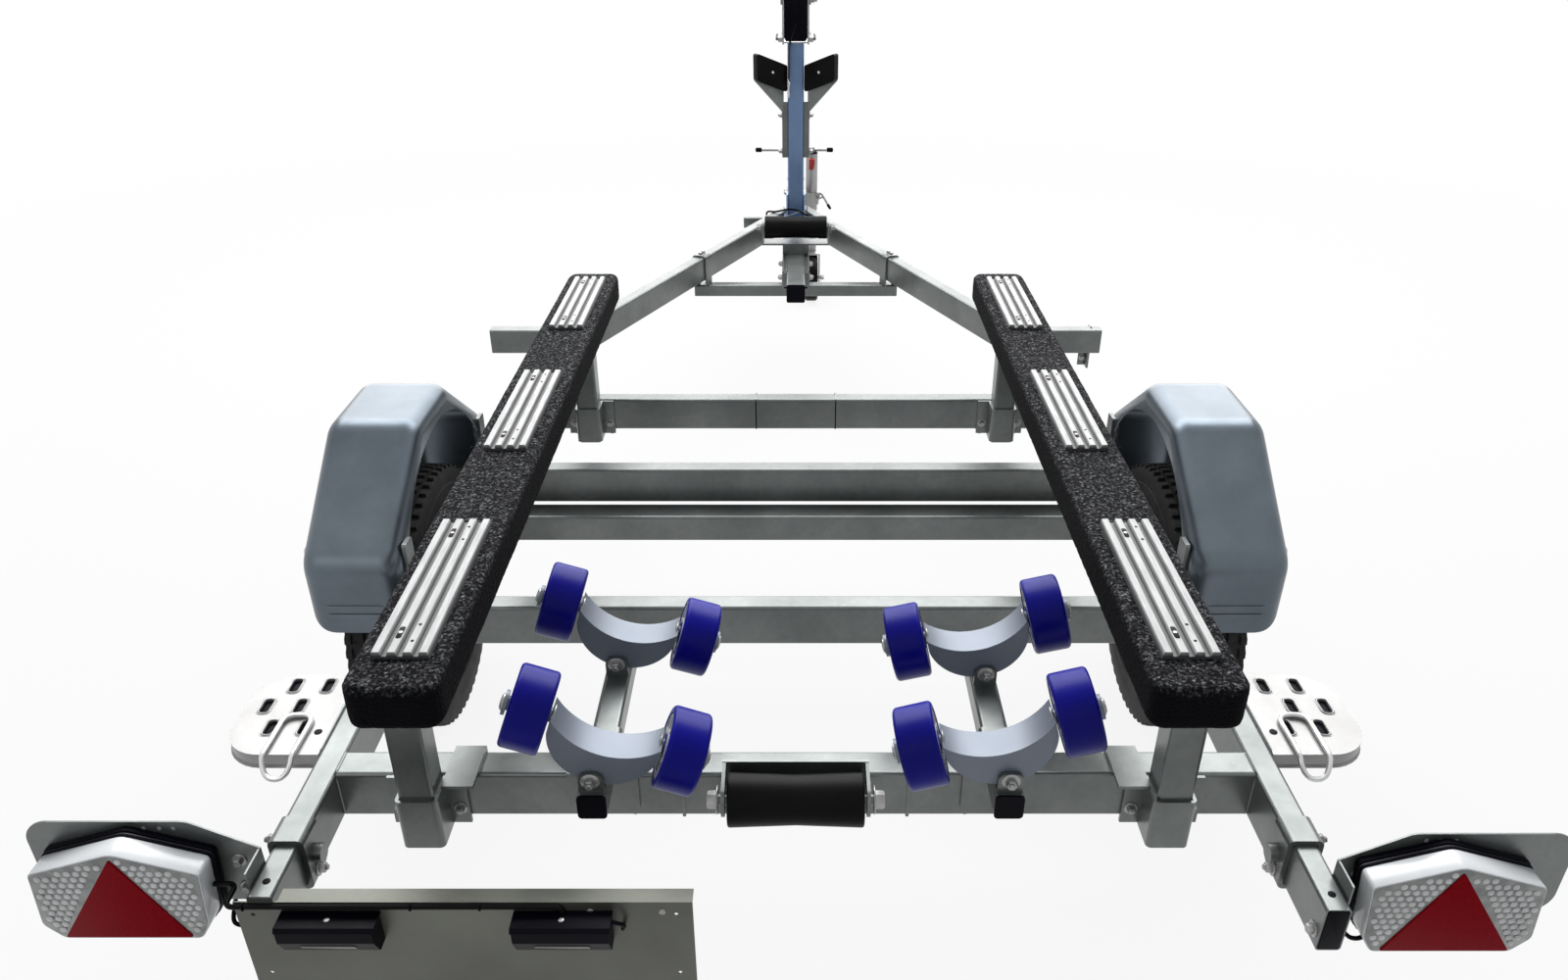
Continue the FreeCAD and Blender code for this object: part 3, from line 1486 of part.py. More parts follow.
def collar(word, side):
    """A clamp band round the rail's rear end, with a lug for its bolt."""
    wall = size("collar_wall")
    gap = size("collar_gap")
    rear = along(-size("rail_rear"))
    length = size("collar_length")
    wide = size("rail_width") + 2 * (gap + wall)
    tall = size("rail_height") + 2 * (gap + wall)
    band = extrusion(f"collar_{word}_band", "Y",
                     box_section(wide, tall, wall, size("tube_corner") + wall, RAIL_X * side, FRAME_MIDDLE),
                     rear, length)
    inner = RAIL_INNER * side - (gap + wall) * side
    depth = wall * 3
    left = inner - depth if side > 0 else inner
    lug = cylinder(f"collar_{word}_lug", "X", size("collar_lug") / 2, left - OVERLAP * (side < 0),
                   depth + OVERLAP, (rear + length / 2, FRAME_MIDDLE))
    return fuse(f"collar_{word}", [band, lug])


def build_steps_and_collars():
    part("step_plates", together("StepPlates", [step_plate(word, side) for word, side in SIDES]))
    part("rail_collars", together("RailCollars", [collar(word, side) for word, side in SIDES]))


# Lamp carriers that slide in the rails, with the lamps and the number plate board
def carrier_out(word):
    return size(f"carrier_out_{word}")


def lamp_face(word):
    """Where the lamp's front side stands, just behind its holder."""
    return keep(f"lamp_face_{word}", along(-size("rail_rear") - carrier_out(word) + size("holder_ahead")))


def build_carrier(word, side, face):
    gap = size("carrier_gap")
    wall = size("rail_wall")
    wide = size("rail_width") - 2 * (wall + gap)
    tall = size("rail_height") - 2 * (wall + gap)
    corner = size("tube_corner") - gap * 2
    rear = along(-size("rail_rear") - carrier_out(word))
    tube = extrusion(f"carrier_{word}_tube", "Y",
                     box_section(wide, tall, size("carrier_wall"), corner, RAIL_X * side, FRAME_MIDDLE),
                     rear, carrier_out(word) + size("carrier_inside"))
    cap = extrusion(f"carrier_{word}_cap", "Y",
                    [rectangle(RAIL_X * side - wide / 2, RAIL_X * side + wide / 2, FRAME_MIDDLE - tall / 2,
                               FRAME_MIDDLE + tall / 2, corner)],
                    rear - size("cap_thickness"), size("cap_thickness"))
    sheet = size("holder_sheet")
    near = RAIL_X + wide / 2
    far = RAIL_X + size("holder_reach")
    top = size("holder_top")
    low = top - size("holder_height")
    shoulder = top - size("holder_slope")
    round_end = size("holder_round")
    plate = extrusion(f"carrier_{word}_sheet", "Y",
                      [[(near * side, low), (far * side, low, round_end), (far * side, top, round_end),
                        ((near + size("holder_slope_run")) * side, top, round_end), (near * side, shoulder)]],
                      face, sheet)
    left = near if side > 0 else -near - sheet
    flange = block(f"carrier_{word}_flange", left, left + sheet, face - size("holder_flange"), face + sheet,
                   FRAME_MIDDLE - tall / 3, shoulder)
    part(f"lamp_carrier_{word}", fuse(f"LampCarrier_{word}", [tube, cap, plate, flange]))


def lamp_x(side):
    """Where a lamp's middle stands across the trailer."""
    return size("lamp_left") * side if side < 0 else size("lamp_right")


def build_lamp(word, side, face):
    half = size("lamp_width") / 2
    low = size("lamp_centre") - size("lamp_height") / 2
    high = size("lamp_centre") + size("lamp_height") / 2
    shoulder = high - size("lamp_shoulder")
    foot = low + size("lamp_foot_rise")
    upper = half - size("lamp_slant")
    corner = size("lamp_corner")
    places = [(size("lamp_foot_inset") - half, low, corner), (half - size("lamp_foot_inset"), low, corner),
              (half, foot, corner), (upper, shoulder, corner), (size("lamp_peak_inset") * -1, high, corner * 2),
              (half * -1, shoulder, corner), (upper * -1, foot, corner)]
    outline = [(lamp_x(side) + out * side, up, rounding) for out, up, rounding in places]
    depth = size("lamp_depth")
    body = new_body(f"Lamp_{word}")
    housing = pad(body, "Y", [outline], face - depth, depth)
    shape = shape_of(housing)
    edges = [f"Edge{index}" for index, edge in enumerate(shape.Edges, start=1)
             if edge.BoundBox.YLength < TOLERANCE and edge.BoundBox.YMax < shape.BoundBox.YMin + TOLERANCE]
    round_edges(body, housing, edges, size("lamp_edge"))
    part(f"lamp_{word}", body)


def build_board():
    rear = along(-size("rail_rear") - carrier_out("left") - size("cap_thickness"))
    sheet = size("board_sheet")
    left = -RAIL_X - size("board_overlap")
    right = left + size("board_length")
    top = size("board_top")
    low = top - size("board_height")
    near = -RAIL_INNER + sheet
    panel = block("board_panel", left, right, rear - sheet, rear, low, top)
    flange = block("board_flange", near, right, rear - sheet, rear + size("board_flange"), top - sheet, top)
    centre = left + size("board_length") / 2
    middle = top - size("board_height") / 2
    holes = [
        cylinder(f"board_hole_{across + 1}{up + 1}", "Y", size("plate_hole") / 2, rear - sheet * 3, sheet * 6,
                 (centre + size("plate_hole_spread") / 2 * across, middle + size("plate_hole_height") / 2 * up))
        for across in (-1, 1) for up in (-1, 1)]
    board = fuse("board_folded", [panel, flange])
    part("plate_board", cut("PlateBoard", board, fuse("board_holes", holes)))
    lights = []
    for number, alias in enumerate(("plate_light_first", "plate_light_second")):
        x = left + size(alias)
        half = size("plate_light_width") / 2
        high = top - size("plate_light_drop")
        depth = size("plate_light_depth")
        rounding = size("plate_light_round")
        outline = [(rear - sheet, high), (rear - sheet, high - size("plate_light_height")),
                   (rear - sheet - size("plate_light_foot"), high - size("plate_light_height"), rounding),
                   (rear - sheet - depth, high - size("plate_light_front"), rounding),
                   (rear - sheet - depth, high, rounding)]
        lights.append(extrusion(f"plate_light_{number}", "X", [outline], x - half, half * 2))
    part("plate_lights", together("PlateLights", lights))
    return rear - sheet, left, high


def rounded_wire(points, radius):
    """A wire of straight runs through the points, with an arc of the radius at each turn."""
    pieces = []
    start = points[0]
    for corner, after in zip(points[1:-1], points[2:]):
        back = (start - corner).normalize()
        ahead = (after - corner).normalize()
        between = back.getAngle(ahead)
        reach = radius / math.tan(between / 2)
        entry = corner + back * reach
        leave = corner + ahead * reach
        inward = (back + ahead).normalize()
        centre = corner + inward * (radius / math.sin(between / 2))
        pieces.append(Part.LineSegment(start, entry).toShape())
        pieces.append(Part.Arc(entry, centre - inward * radius, leave).toShape())
        start = leave
    pieces.append(Part.LineSegment(start, points[-1]).toShape())
    return Part.Wire(pieces)


def build_cable(board_rear, board_left, light_top, face):
    """The lighting cable, clipped along the board from the lamp to the second plate light."""
    radius = size("cable_diameter") / 2
    bend = size("cable_bend")
    run_y = board_rear - radius
    run_z = light_top + size("cable_rise")
    slant = size("lamp_slant") / (size("lamp_height") - size("lamp_shoulder") - size("lamp_foot_rise"))
    above_foot = run_z - size("lamp_centre") + size("lamp_height") / 2 - size("lamp_foot_rise")
    start_x = lamp_x(-1) + size("lamp_width") / 2 - size("lamp_slant") + above_foot * slant + size("cable_gap")
    lamp_y = face - size("lamp_depth") / 2
    turn_x = board_left - bend
    end_x = board_left + size("plate_light_second")
    route = [vector(start_x, lamp_y, run_z), vector(turn_x, lamp_y, run_z), vector(turn_x, run_y, run_z),
             vector(end_x, run_y, run_z), vector(end_x, run_y, light_top)]
    disc = Part.Wire([Part.Circle(route[0], route[1] - route[0], radius.number).toShape()])
    cable = doc.addObject("Part::Feature", "BoardCable")
    cable.Shape = rounded_wire(route, bend.number).makePipeShell([disc], True, False)
    part("board_cable", cable)


def build_lamps():
    faces = {word: lamp_face(word) for word, _ in SIDES}
    for word, side in SIDES:
        build_carrier(word, side, faces[word])
        build_lamp(word, side, faces[word])
    build_cable(*build_board(), faces["left"])


# Black caps that close the tubes' ends
def build_end_caps():
    thickness = size("cap_thickness")
    arm_size = size("roller_arm_size")
    middle = size("frame_top") + arm_size / 2
    caps = [
        extrusion(f"cap_roller_arm_{word}", "Y",
                  [rectangle(arm_x(side) - arm_size / 2, arm_x(side) + arm_size / 2,
                             middle - arm_size / 2, middle + arm_size / 2, size("tube_corner"))],
                  along(-size("roller_arm_rear")) - thickness, thickness)
        for word, side in SIDES]
    half = size("drawbar_size") / 2
    caps.append(extrusion("cap_drawbar", "Y",
                          [rectangle(-half, half, DRAWBAR_BOTTOM, size("drawbar_top"), size("tube_corner"))],
                          along(size("drawbar_rear")) - thickness, thickness))
    part("end_caps", together("EndCaps", caps))


# Winch post, bow stop and winch
def build_winch_post():
    half = size("winch_post_size") / 2
    y = along(size("post_reach"))
    foot = size("foot_thickness")
    bottom = size("drawbar_top")
    tube = extrusion("winch_post_tube", "Z",
                     box_section(size("winch_post_size"), size("winch_post_size"), size("rail_wall"),
                                 size("tube_corner"), 0, y), bottom + foot,
                     size("winch_post_top") - bottom - foot)
    plate = block("winch_post_foot", -CHANNEL_HALF, CHANNEL_HALF, y - size("foot_length") / 2,
                  y + size("foot_length") / 2, bottom, bottom + foot)
    cheeks = [
        extrusion(f"winch_post_cheek_{word}", "X",
                  [[(y - size("foot_length") / 2, bottom + foot), (y + size("foot_length") / 2, bottom + foot),
                    (y + half, bottom + foot + size("foot_cheek"), foot),
                    (y - half, bottom + foot + size("foot_cheek"), foot)]],
                  half if side > 0 else -half - foot, foot)
        for word, side in SIDES]
    part("winch_post", fuse("WinchPost", [tube, plate] + cheeks))


def build_bow_stop():
    """Two pads in a V behind the post, each on a plate that an arm carries from the post's side."""
    y = along(size("post_reach"))
    post_half = size("winch_post_size") / 2
    pad_half = size("bow_pad_width") / 2
    angle = size("bow_pad_angle")
    thickness = size("bow_pad_thickness")
    centre_x = keep("bow_pad_x", post_half + pad_half * cosine(angle) + thickness * sine(angle))
    centre_y = keep("bow_pad_y", y - post_half - pad_half * sine(angle))
    rise = size("bow_pad_rise") / 2
    low = size("bow_centre") - size("bow_pad_height") / 2
    high = size("bow_centre") + size("bow_pad_height") / 2
    bend = size("bow_arm_bend")
    edge = size("bow_plate")
    post = block("bow_post_envelope", -post_half, post_half, y - post_half * 2, y + post_half,
                 size("bow_arm_foot") - MARGIN, high + MARGIN)
    pads = []
    pieces = []
    for word, side in SIDES:
        inner = -pad_half * side
        outer = pad_half * side
        pad_loop = [(inner, low - rise, edge), (outer, low + rise, edge), (outer, high + rise, edge),
                    (inner, high - rise, edge)]
        pad_body = extrusion(f"bow_pad_{word}", "Y", [pad_loop], -thickness, thickness)
        pads.append(put(pad_body, centre_x * side, centre_y, 0, (0, 0, 1), angle * -side))
        plate_loop = [(inner, bend - MARGIN), (outer * ROUND_SHARE, low + rise - edge / 2, edge),
                      (outer * ROUND_SHARE, high, edge), (inner, high - rise * 2, edge)]
        plate = extrusion(f"bow_plate_{word}", "Y", [plate_loop], 0, edge)
        pieces.append(put(plate, centre_x * side, centre_y, 0, (0, 0, 1), angle * -side))
        left = post_half if side > 0 else -post_half - size("bow_arm_thickness")
        pieces.append(block(f"bow_arm_{word}", left, left + size("bow_arm_thickness"),
                            y + edge - size("bow_arm_width"), y + edge, size("bow_arm_foot"), bend + MARGIN))
    part("bow_stop_bracket", cut("BowStopBracket", fuse("bow_stop_welded", pieces), post))
    part("bow_pads", together("BowPads", pads))


def build_winch():
    y = along(size("post_reach"))
    half = size("winch_width") / 2
    plate = size("winch_plate")
    base = size("winch_post_top")
    top = size("winch_top")
    depth = size("winch_depth") / 2
    roll = size("strap_roll") / 2
    arm_x = half + size("crank_out")
    axis_z = keep("drum_axis", top - roll - size("drum_below"))
    waist = base + size("winch_waist")
    narrow = depth - size("winch_taper")
    cheeks = [
        extrusion(f"winch_cheek_{word}", "X",
                  [[(y - depth, base), (y + depth, base), (y + depth, waist, MARGIN), (y + narrow, top, MARGIN),
                    (y - narrow, top, MARGIN), (y - depth, waist, MARGIN)]],
                  half if side > 0 else -half - plate, plate)
        for word, side in SIDES]
    floor = block("winch_floor", -half - plate, half + plate, y - size("winch_post_size") / 2, y + depth, base,
                  base + plate)
    drum = cylinder("winch_drum", "X", size("drum_diameter") / 2, -arm_x, arm_x * 2, (y, axis_z))
    part("winch_frame", fuse("WinchFrame", cheeks + [floor, drum]))
    web = size("strap_web") / 2
    wound = cylinder("strap_wound", "X", roll, -web, web * 2, (y, axis_z))
    core = cylinder("strap_core", "X", size("drum_diameter") / 2, -web, web * 2, (y, axis_z))
    tail_y = y - roll
    hook_z = size("bow_centre")
    tail = block("strap_tail", -web, web, tail_y, tail_y + size("strap_sheet"), hook_z, axis_z)
    part("winch_strap", cut("WinchStrap", fuse("strap_all", [wound, tail]), core))
    crank = size("crank_length")
    bar = size("crank_bar") / 2
    grip_radius = size("crank_grip_diameter") / 2
    sheet = size("crank_sheet")
    arm = block("crank_arm", arm_x, arm_x + sheet, y - bar, y + bar, axis_z - bar, axis_z + crank)
    grip = cylinder("crank_grip", "X", grip_radius, arm_x + sheet, size("crank_grip"),
                    (y, axis_z + crank - grip_radius))
    part("winch_crank", fuse("WinchCrank", [arm, grip]))


# Coupling
def build_coupling():
    wall = size("coupling_wall")
    nose = along(size("nose_reach"))
    rear = nose - size("coupling_length")
    half = size("drawbar_size") / 2
    front = along(size("drawbar_front"))
    ball = size("ball_diameter") / 2
    ball_y = nose - size("ball_setback")
    ball_z = keep("ball_z", DRAWBAR_BOTTOM + size("ball_drop"))
    wide = half + wall
    high = size("drawbar_top") + wall
    head = ball + wall * 2
    sleeve = extrusion("coupling_sleeve", "Y",
                       [[(-wide, DRAWBAR_BOTTOM + wall), (-half, DRAWBAR_BOTTOM + wall),
                         (-half, size("drawbar_top"), size("tube_corner")),
                         (half, size("drawbar_top"), size("tube_corner")), (half, DRAWBAR_BOTTOM + wall),
                         (wide, DRAWBAR_BOTTOM + wall), (wide, high, size("tube_corner") + wall),
                         (-wide, high, size("tube_corner") + wall)]], rear, front - rear)
    nose_body = extrusion("coupling_nose", "Z",
                          [[(-wide, front), (wide, front), (wide, ball_y - head, wall * 2),
                            (head, ball_y, wall), (head, nose, size("coupling_round")), (-head, nose, size("coupling_round")),
                            (-head, ball_y, wall), (-wide, ball_y - head, wall * 2)]],
                          ball_z - wall * 2, high - ball_z + wall * 2)
    socket = doc.addObject("Part::Sphere", "coupling_socket")
    bind(socket, "Radius", ball + size("socket_gap"))
    put(socket, 0, ball_y, ball_z)
    mouth = cylinder("coupling_mouth", "Z", ball + size("socket_gap"), ball_z - ball * 2, ball * 2, (0, ball_y))
    raised = high + size("lever_rear")
    thin = size("lever_sheet")
    rounding = size("lever_round")
    lever = extrusion("coupling_grip", "X",
                      [[(front + wall, high), (front + wall, high + size("lever_front"), rounding),
                        (rear + MARGIN, raised, rounding), (rear + MARGIN, raised - thin, rounding),
                        (front - MARGIN, high + thin / 2, rounding), (front - MARGIN, high)]],
                      size("lever_width") / -2, size("lever_width"))
    head = fuse("coupling_solid", [sleeve, nose_body, lever])
    part("coupling_head", cut("CouplingHead", head, fuse("coupling_hollow", [socket, mouth])))


# Jockey wheel
def build_jockey():
    x = size("jockey_side")
    y = along(size("jockey_reach"))
    radius = size("jockey_tube") / 2
    wall = size("jockey_wall")
    bottom = size("jockey_bottom")
    top = size("jockey_top")
    tube = cylinder("jockey_outer", "Z", radius, bottom, top - bottom, (x, y))
    bore = cylinder("jockey_bore", "Z", radius - wall, bottom - OVERLAP, top - bottom - wall + OVERLAP,
                    (x, y))
    half = size("drawbar_size") / 2
    reach = radius + size("clamp_block_wall")
    seat = reach + size("clamp_block_seat")
    side_half = radius / 2 + size("clamp_block_seat")
    inset = size("clamp_block_inset")
    clamp = extrusion("jockey_clamp_block", "Z",
                      [[(half, y - seat), (x, y - reach, wall), (x + reach, y - side_half, radius / 2),
                        (x + reach, y + side_half, radius / 2), (x, y + reach, wall), (half, y + seat)]],
                      DRAWBAR_BOTTOM + inset, size("drawbar_size") - inset * 2)
    body = fuse("jockey_body", [tube, clamp])
    part("jockey_clamp", cut("JockeyClamp", body, bore))
    bar_z = size("jockey_bar_height")
    spindle = cylinder("jockey_spindle", "Z", size("jockey_bar"), top, bar_z - top + size("jockey_bar"), (x, y))
    bar = cylinder("jockey_bar", "X", size("jockey_bar") / 2,
                   x - size("jockey_bar_slide") - size("jockey_bar_length") / 2,
                   size("jockey_bar_length"), (y, bar_z))
    part("jockey_handle", fuse("JockeyHandle", [spindle, bar]))
    leg_radius = radius - wall - size("jockey_gap")
    crown = size("fork_crown")
    wheel = size("jockey_wheel_diameter") / 2
    crown_z = keep("crown_z", size("jockey_wheel_diameter") + size("fork_gap"))
    leg_bottom = crown_z + crown + size("swivel_gap")
    leg = cylinder("jockey_leg_bar", "Z", leg_radius, leg_bottom, size("jockey_leg_top") - leg_bottom, (x, y))
    leg_bore = cylinder("jockey_leg_bore", "Z", leg_radius - wall, leg_bottom + crown, size("jockey_leg_top"),
                        (x, y))
    part("jockey_leg", cut("JockeyLeg", leg, leg_bore))
    inner = size("jockey_wheel_width") / 2 + size("fork_gap")
    sheet = size("fork_sheet")
    trail = size("jockey_trail")
    axle_y = y - trail
    blade = size("fork_blade") / 2
    rounding = size("fork_round")
    crown_plate = block("fork_crown_plate", x - inner - sheet, x + inner + sheet, axle_y - radius, y + radius,
                        crown_z, crown_z + crown)
    blades = [
        extrusion(f"fork_blade_{word}", "X",
                  [[(axle_y - radius, crown_z + crown), (axle_y - blade, wheel - radius, rounding),
                    (axle_y + blade, wheel - radius, rounding), (y + radius, crown_z + crown)]],
                  x + inner if side > 0 else x - inner - sheet, sheet)
        for word, side in SIDES]
    axle = cylinder("fork_axle", "X", size("jockey_axle") / 2, x - inner - sheet * 2, (inner + sheet * 2) * 2,
                    (axle_y, wheel))
    part("jockey_fork", fuse("JockeyFork", [crown_plate, axle] + blades))
    half_width = size("jockey_wheel_width") / 2
    web = size("jockey_web") / 2
    hole = size("jockey_axle") / 2 + size("jockey_axle_gap")
    hub = size("jockey_hub") / 2
    hub_foot = hub + size("jockey_slope")
    band = wheel - size("jockey_band")
    band_foot = band - size("jockey_slope")
    rounding = size("jockey_round")
    wheel_body = revolution("JockeyWheel", "H_Axis",
                            [[(-half_width, hole), (-half_width, hub), (-web, hub_foot), (-web, band_foot),
                              (-half_width, band), (-half_width, wheel, rounding), (half_width, wheel, rounding),
                              (half_width, band), (web, band_foot), (web, hub_foot), (half_width, hub),
                              (half_width, hole)]], "Z")
    put(wheel_body, x, axle_y, wheel)
    part("jockey_wheel", wheel_body)


def check_and_write():
    """Stops on any failed object, then writes each sub-part to its own file."""
    doc.recompute()
    for thing in doc.Objects:
        if "Invalid" in thing.State or "Error" in thing.State:
            raise RuntimeError(f"{thing.Label} did not build: {thing.State}")
    os.makedirs("parts", exist_ok=True)
    for thing in PARTS:
        shape = thing.Shape
        if shape.isNull() or not shape.isValid():
            raise RuntimeError(f"{thing.Label} has no valid shape")
        shape.exportStep(f"parts/{thing.Label}.step")


build_frame()
build_drawbar()
build_cross_tube()
build_axle()
build_swing_arms()
for side_word, side_sign in SIDES:
    build_wheel(side_word, side_sign)
build_guards()
for side_word, side_sign in SIDES:
    build_bunk(side_word, side_sign)
build_strips()
build_posts()
build_rollers_and_arms()
build_steps_and_collars()
build_lamps()
build_end_caps()
build_winch_post()
build_bow_stop()
build_winch()
build_coupling()
build_jockey()
check_and_write()
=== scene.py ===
import json
from math import copysign, cos, hypot, pi, radians, sin, tan, tau

import bmesh
import bpy
from mathutils import Matrix, Vector, noise


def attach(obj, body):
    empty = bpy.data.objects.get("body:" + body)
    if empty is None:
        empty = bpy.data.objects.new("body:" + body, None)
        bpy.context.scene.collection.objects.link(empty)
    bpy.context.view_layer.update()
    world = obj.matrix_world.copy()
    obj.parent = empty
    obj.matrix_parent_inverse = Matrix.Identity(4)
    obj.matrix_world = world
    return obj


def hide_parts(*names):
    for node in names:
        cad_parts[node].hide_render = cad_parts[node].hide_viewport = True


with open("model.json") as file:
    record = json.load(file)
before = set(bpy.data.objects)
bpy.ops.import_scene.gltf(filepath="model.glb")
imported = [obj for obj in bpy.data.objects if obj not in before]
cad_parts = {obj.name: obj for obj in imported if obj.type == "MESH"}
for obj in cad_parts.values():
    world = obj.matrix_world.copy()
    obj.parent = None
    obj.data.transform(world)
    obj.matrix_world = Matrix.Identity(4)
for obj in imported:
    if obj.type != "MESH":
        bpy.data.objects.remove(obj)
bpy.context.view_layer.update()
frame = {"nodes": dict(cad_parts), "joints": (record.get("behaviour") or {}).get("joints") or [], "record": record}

# Millimetres: +X right seen from behind, +Y ahead of the wheel centre, +Z up from the floor
MM = 0.001
RIGHT = (1, 0, 0)
AHEAD = (0, 1, 0)
BACK = (0, -1, 0)
UP = (0, 0, 1)
DOWN = (0, 0, -1)
SIGNS = (-1, 1)
SIDES = (("left", -1), ("right", 1))
CRADLES = [f"{place}_{word}" for place in ("rear", "front") for word, _ in SIDES]
JOINTS = {joint["name"]: joint for joint in frame["joints"]}
SLOT_OF = {row["node"]: row["material_slot"] for row in frame["record"]["subparts"]}
ORIGIN = Vector((0, JOINTS["wheel_left_spin"]["pos_m"][1], 0))


def joint_place(name):
    return (Vector(JOINTS[name]["pos_m"]) - ORIGIN) / MM


def at(x, y, z):
    return Vector((x, y, z))


def linked(name, data):
    made = bpy.data.objects.new(name, data)
    bpy.context.scene.collection.objects.link(made)
    return made


# Forms
def turns(count):
    """Even angles round a whole turn, from zero."""
    return [tau * step / count for step in range(count)]


QUARTER = [pi / 2 * step / 8 for step in range(9)]


def oval(middle, first, second, count):
    """Points round middle, from first by way of second."""
    middle, first, second = Vector(middle), Vector(first), Vector(second)
    return [middle + first * cos(turn) + second * sin(turn) for turn in turns(count)]


def facing(place, axis, across=RIGHT):
    """A frame at place with its Z along axis and its X leaning across."""
    up = Vector(axis).normalized()
    side = Vector(across) - up * up.dot(Vector(across))
    if side.length < 0.001:
        side = up.orthogonal()
    side.normalize()
    turn = Matrix((side, up.cross(side), up)).transposed().to_4x4()
    return Matrix.Translation(place) @ turn


def shifted(place, x, y, z):
    """The frame place moved along its own axes."""
    return place @ Matrix.Translation((x, y, z))


def shrunk(outline, inset):
    """A counter-clockwise outline moved inwards."""
    points = [Vector(point) for point in outline]
    moved = []
    for before, here, after in zip(points[-1:] + points[:-1], points, points[1:] + points[:1]):
        first = (here - before).normalized()
        second = (after - here).normalized()
        inward = Vector((-first.y - second.y, first.x + second.x))
        moved.append(here + inward * (inset / max(0.3, 1 + first.dot(second))))
    return moved


def rounded(corners, radius, steps=4):
    """A polygon with curved corners; a corner may give its own radius as a third number."""
    points = []
    for index, corner in enumerate(corners):
        here = Vector(corner[:2])
        reach = corner[2] if len(corner) > 2 else radius
        before = (Vector(corners[index - 1][:2]) - here).normalized() * reach
        after = (Vector(corners[(index + 1) % len(corners)][:2]) - here).normalized() * reach
        for step in range(steps + 1):
            share = step / steps
            points.append(here + before * (1 - share) ** 2 + after * share ** 2)
    return points


def oblong(width, height, radius, steps=4):
    """A rectangle about the origin with rounded corners."""
    across, up = width / 2, height / 2
    return rounded([(-across, -up), (across, -up), (across, up), (-across, up)], radius, steps)


def toothed(count, tip, root):
    """The outline of a gear."""
    return [Vector((cos(turn), sin(turn))) * (tip if step % 4 < 2 else root)
            for step, turn in enumerate(turns(4 * count))]


def depth_inside(corners, spot):
    """How far a spot lies inside a counter-clockwise polygon."""
    points = [Vector(corner[:2]) for corner in corners]
    return min((after - before).normalized().cross(spot - before)
            for before, after in zip(points, points[1:] + points[:1]))


def smooth_path(points, steps=6):
    """Points on a soft line through the given ones."""
    points = [Vector(point) for point in points]
    padded = [points[0] * 2 - points[1]] + points + [points[-1] * 2 - points[-2]]
    path = []
    for first, second, third, fourth in zip(padded, padded[1:], padded[2:], padded[3:]):
        for step in range(steps):
            share = step / steps
            bend = first * -1 + second * 3 - third * 3 + fourth
            slope = first * 2 - second * 5 + third * 4 - fourth
            path.append((second * 2 + (third - first) * share + slope * share ** 2 + bend * share ** 3) / 2)
    return path + [points[-1]]


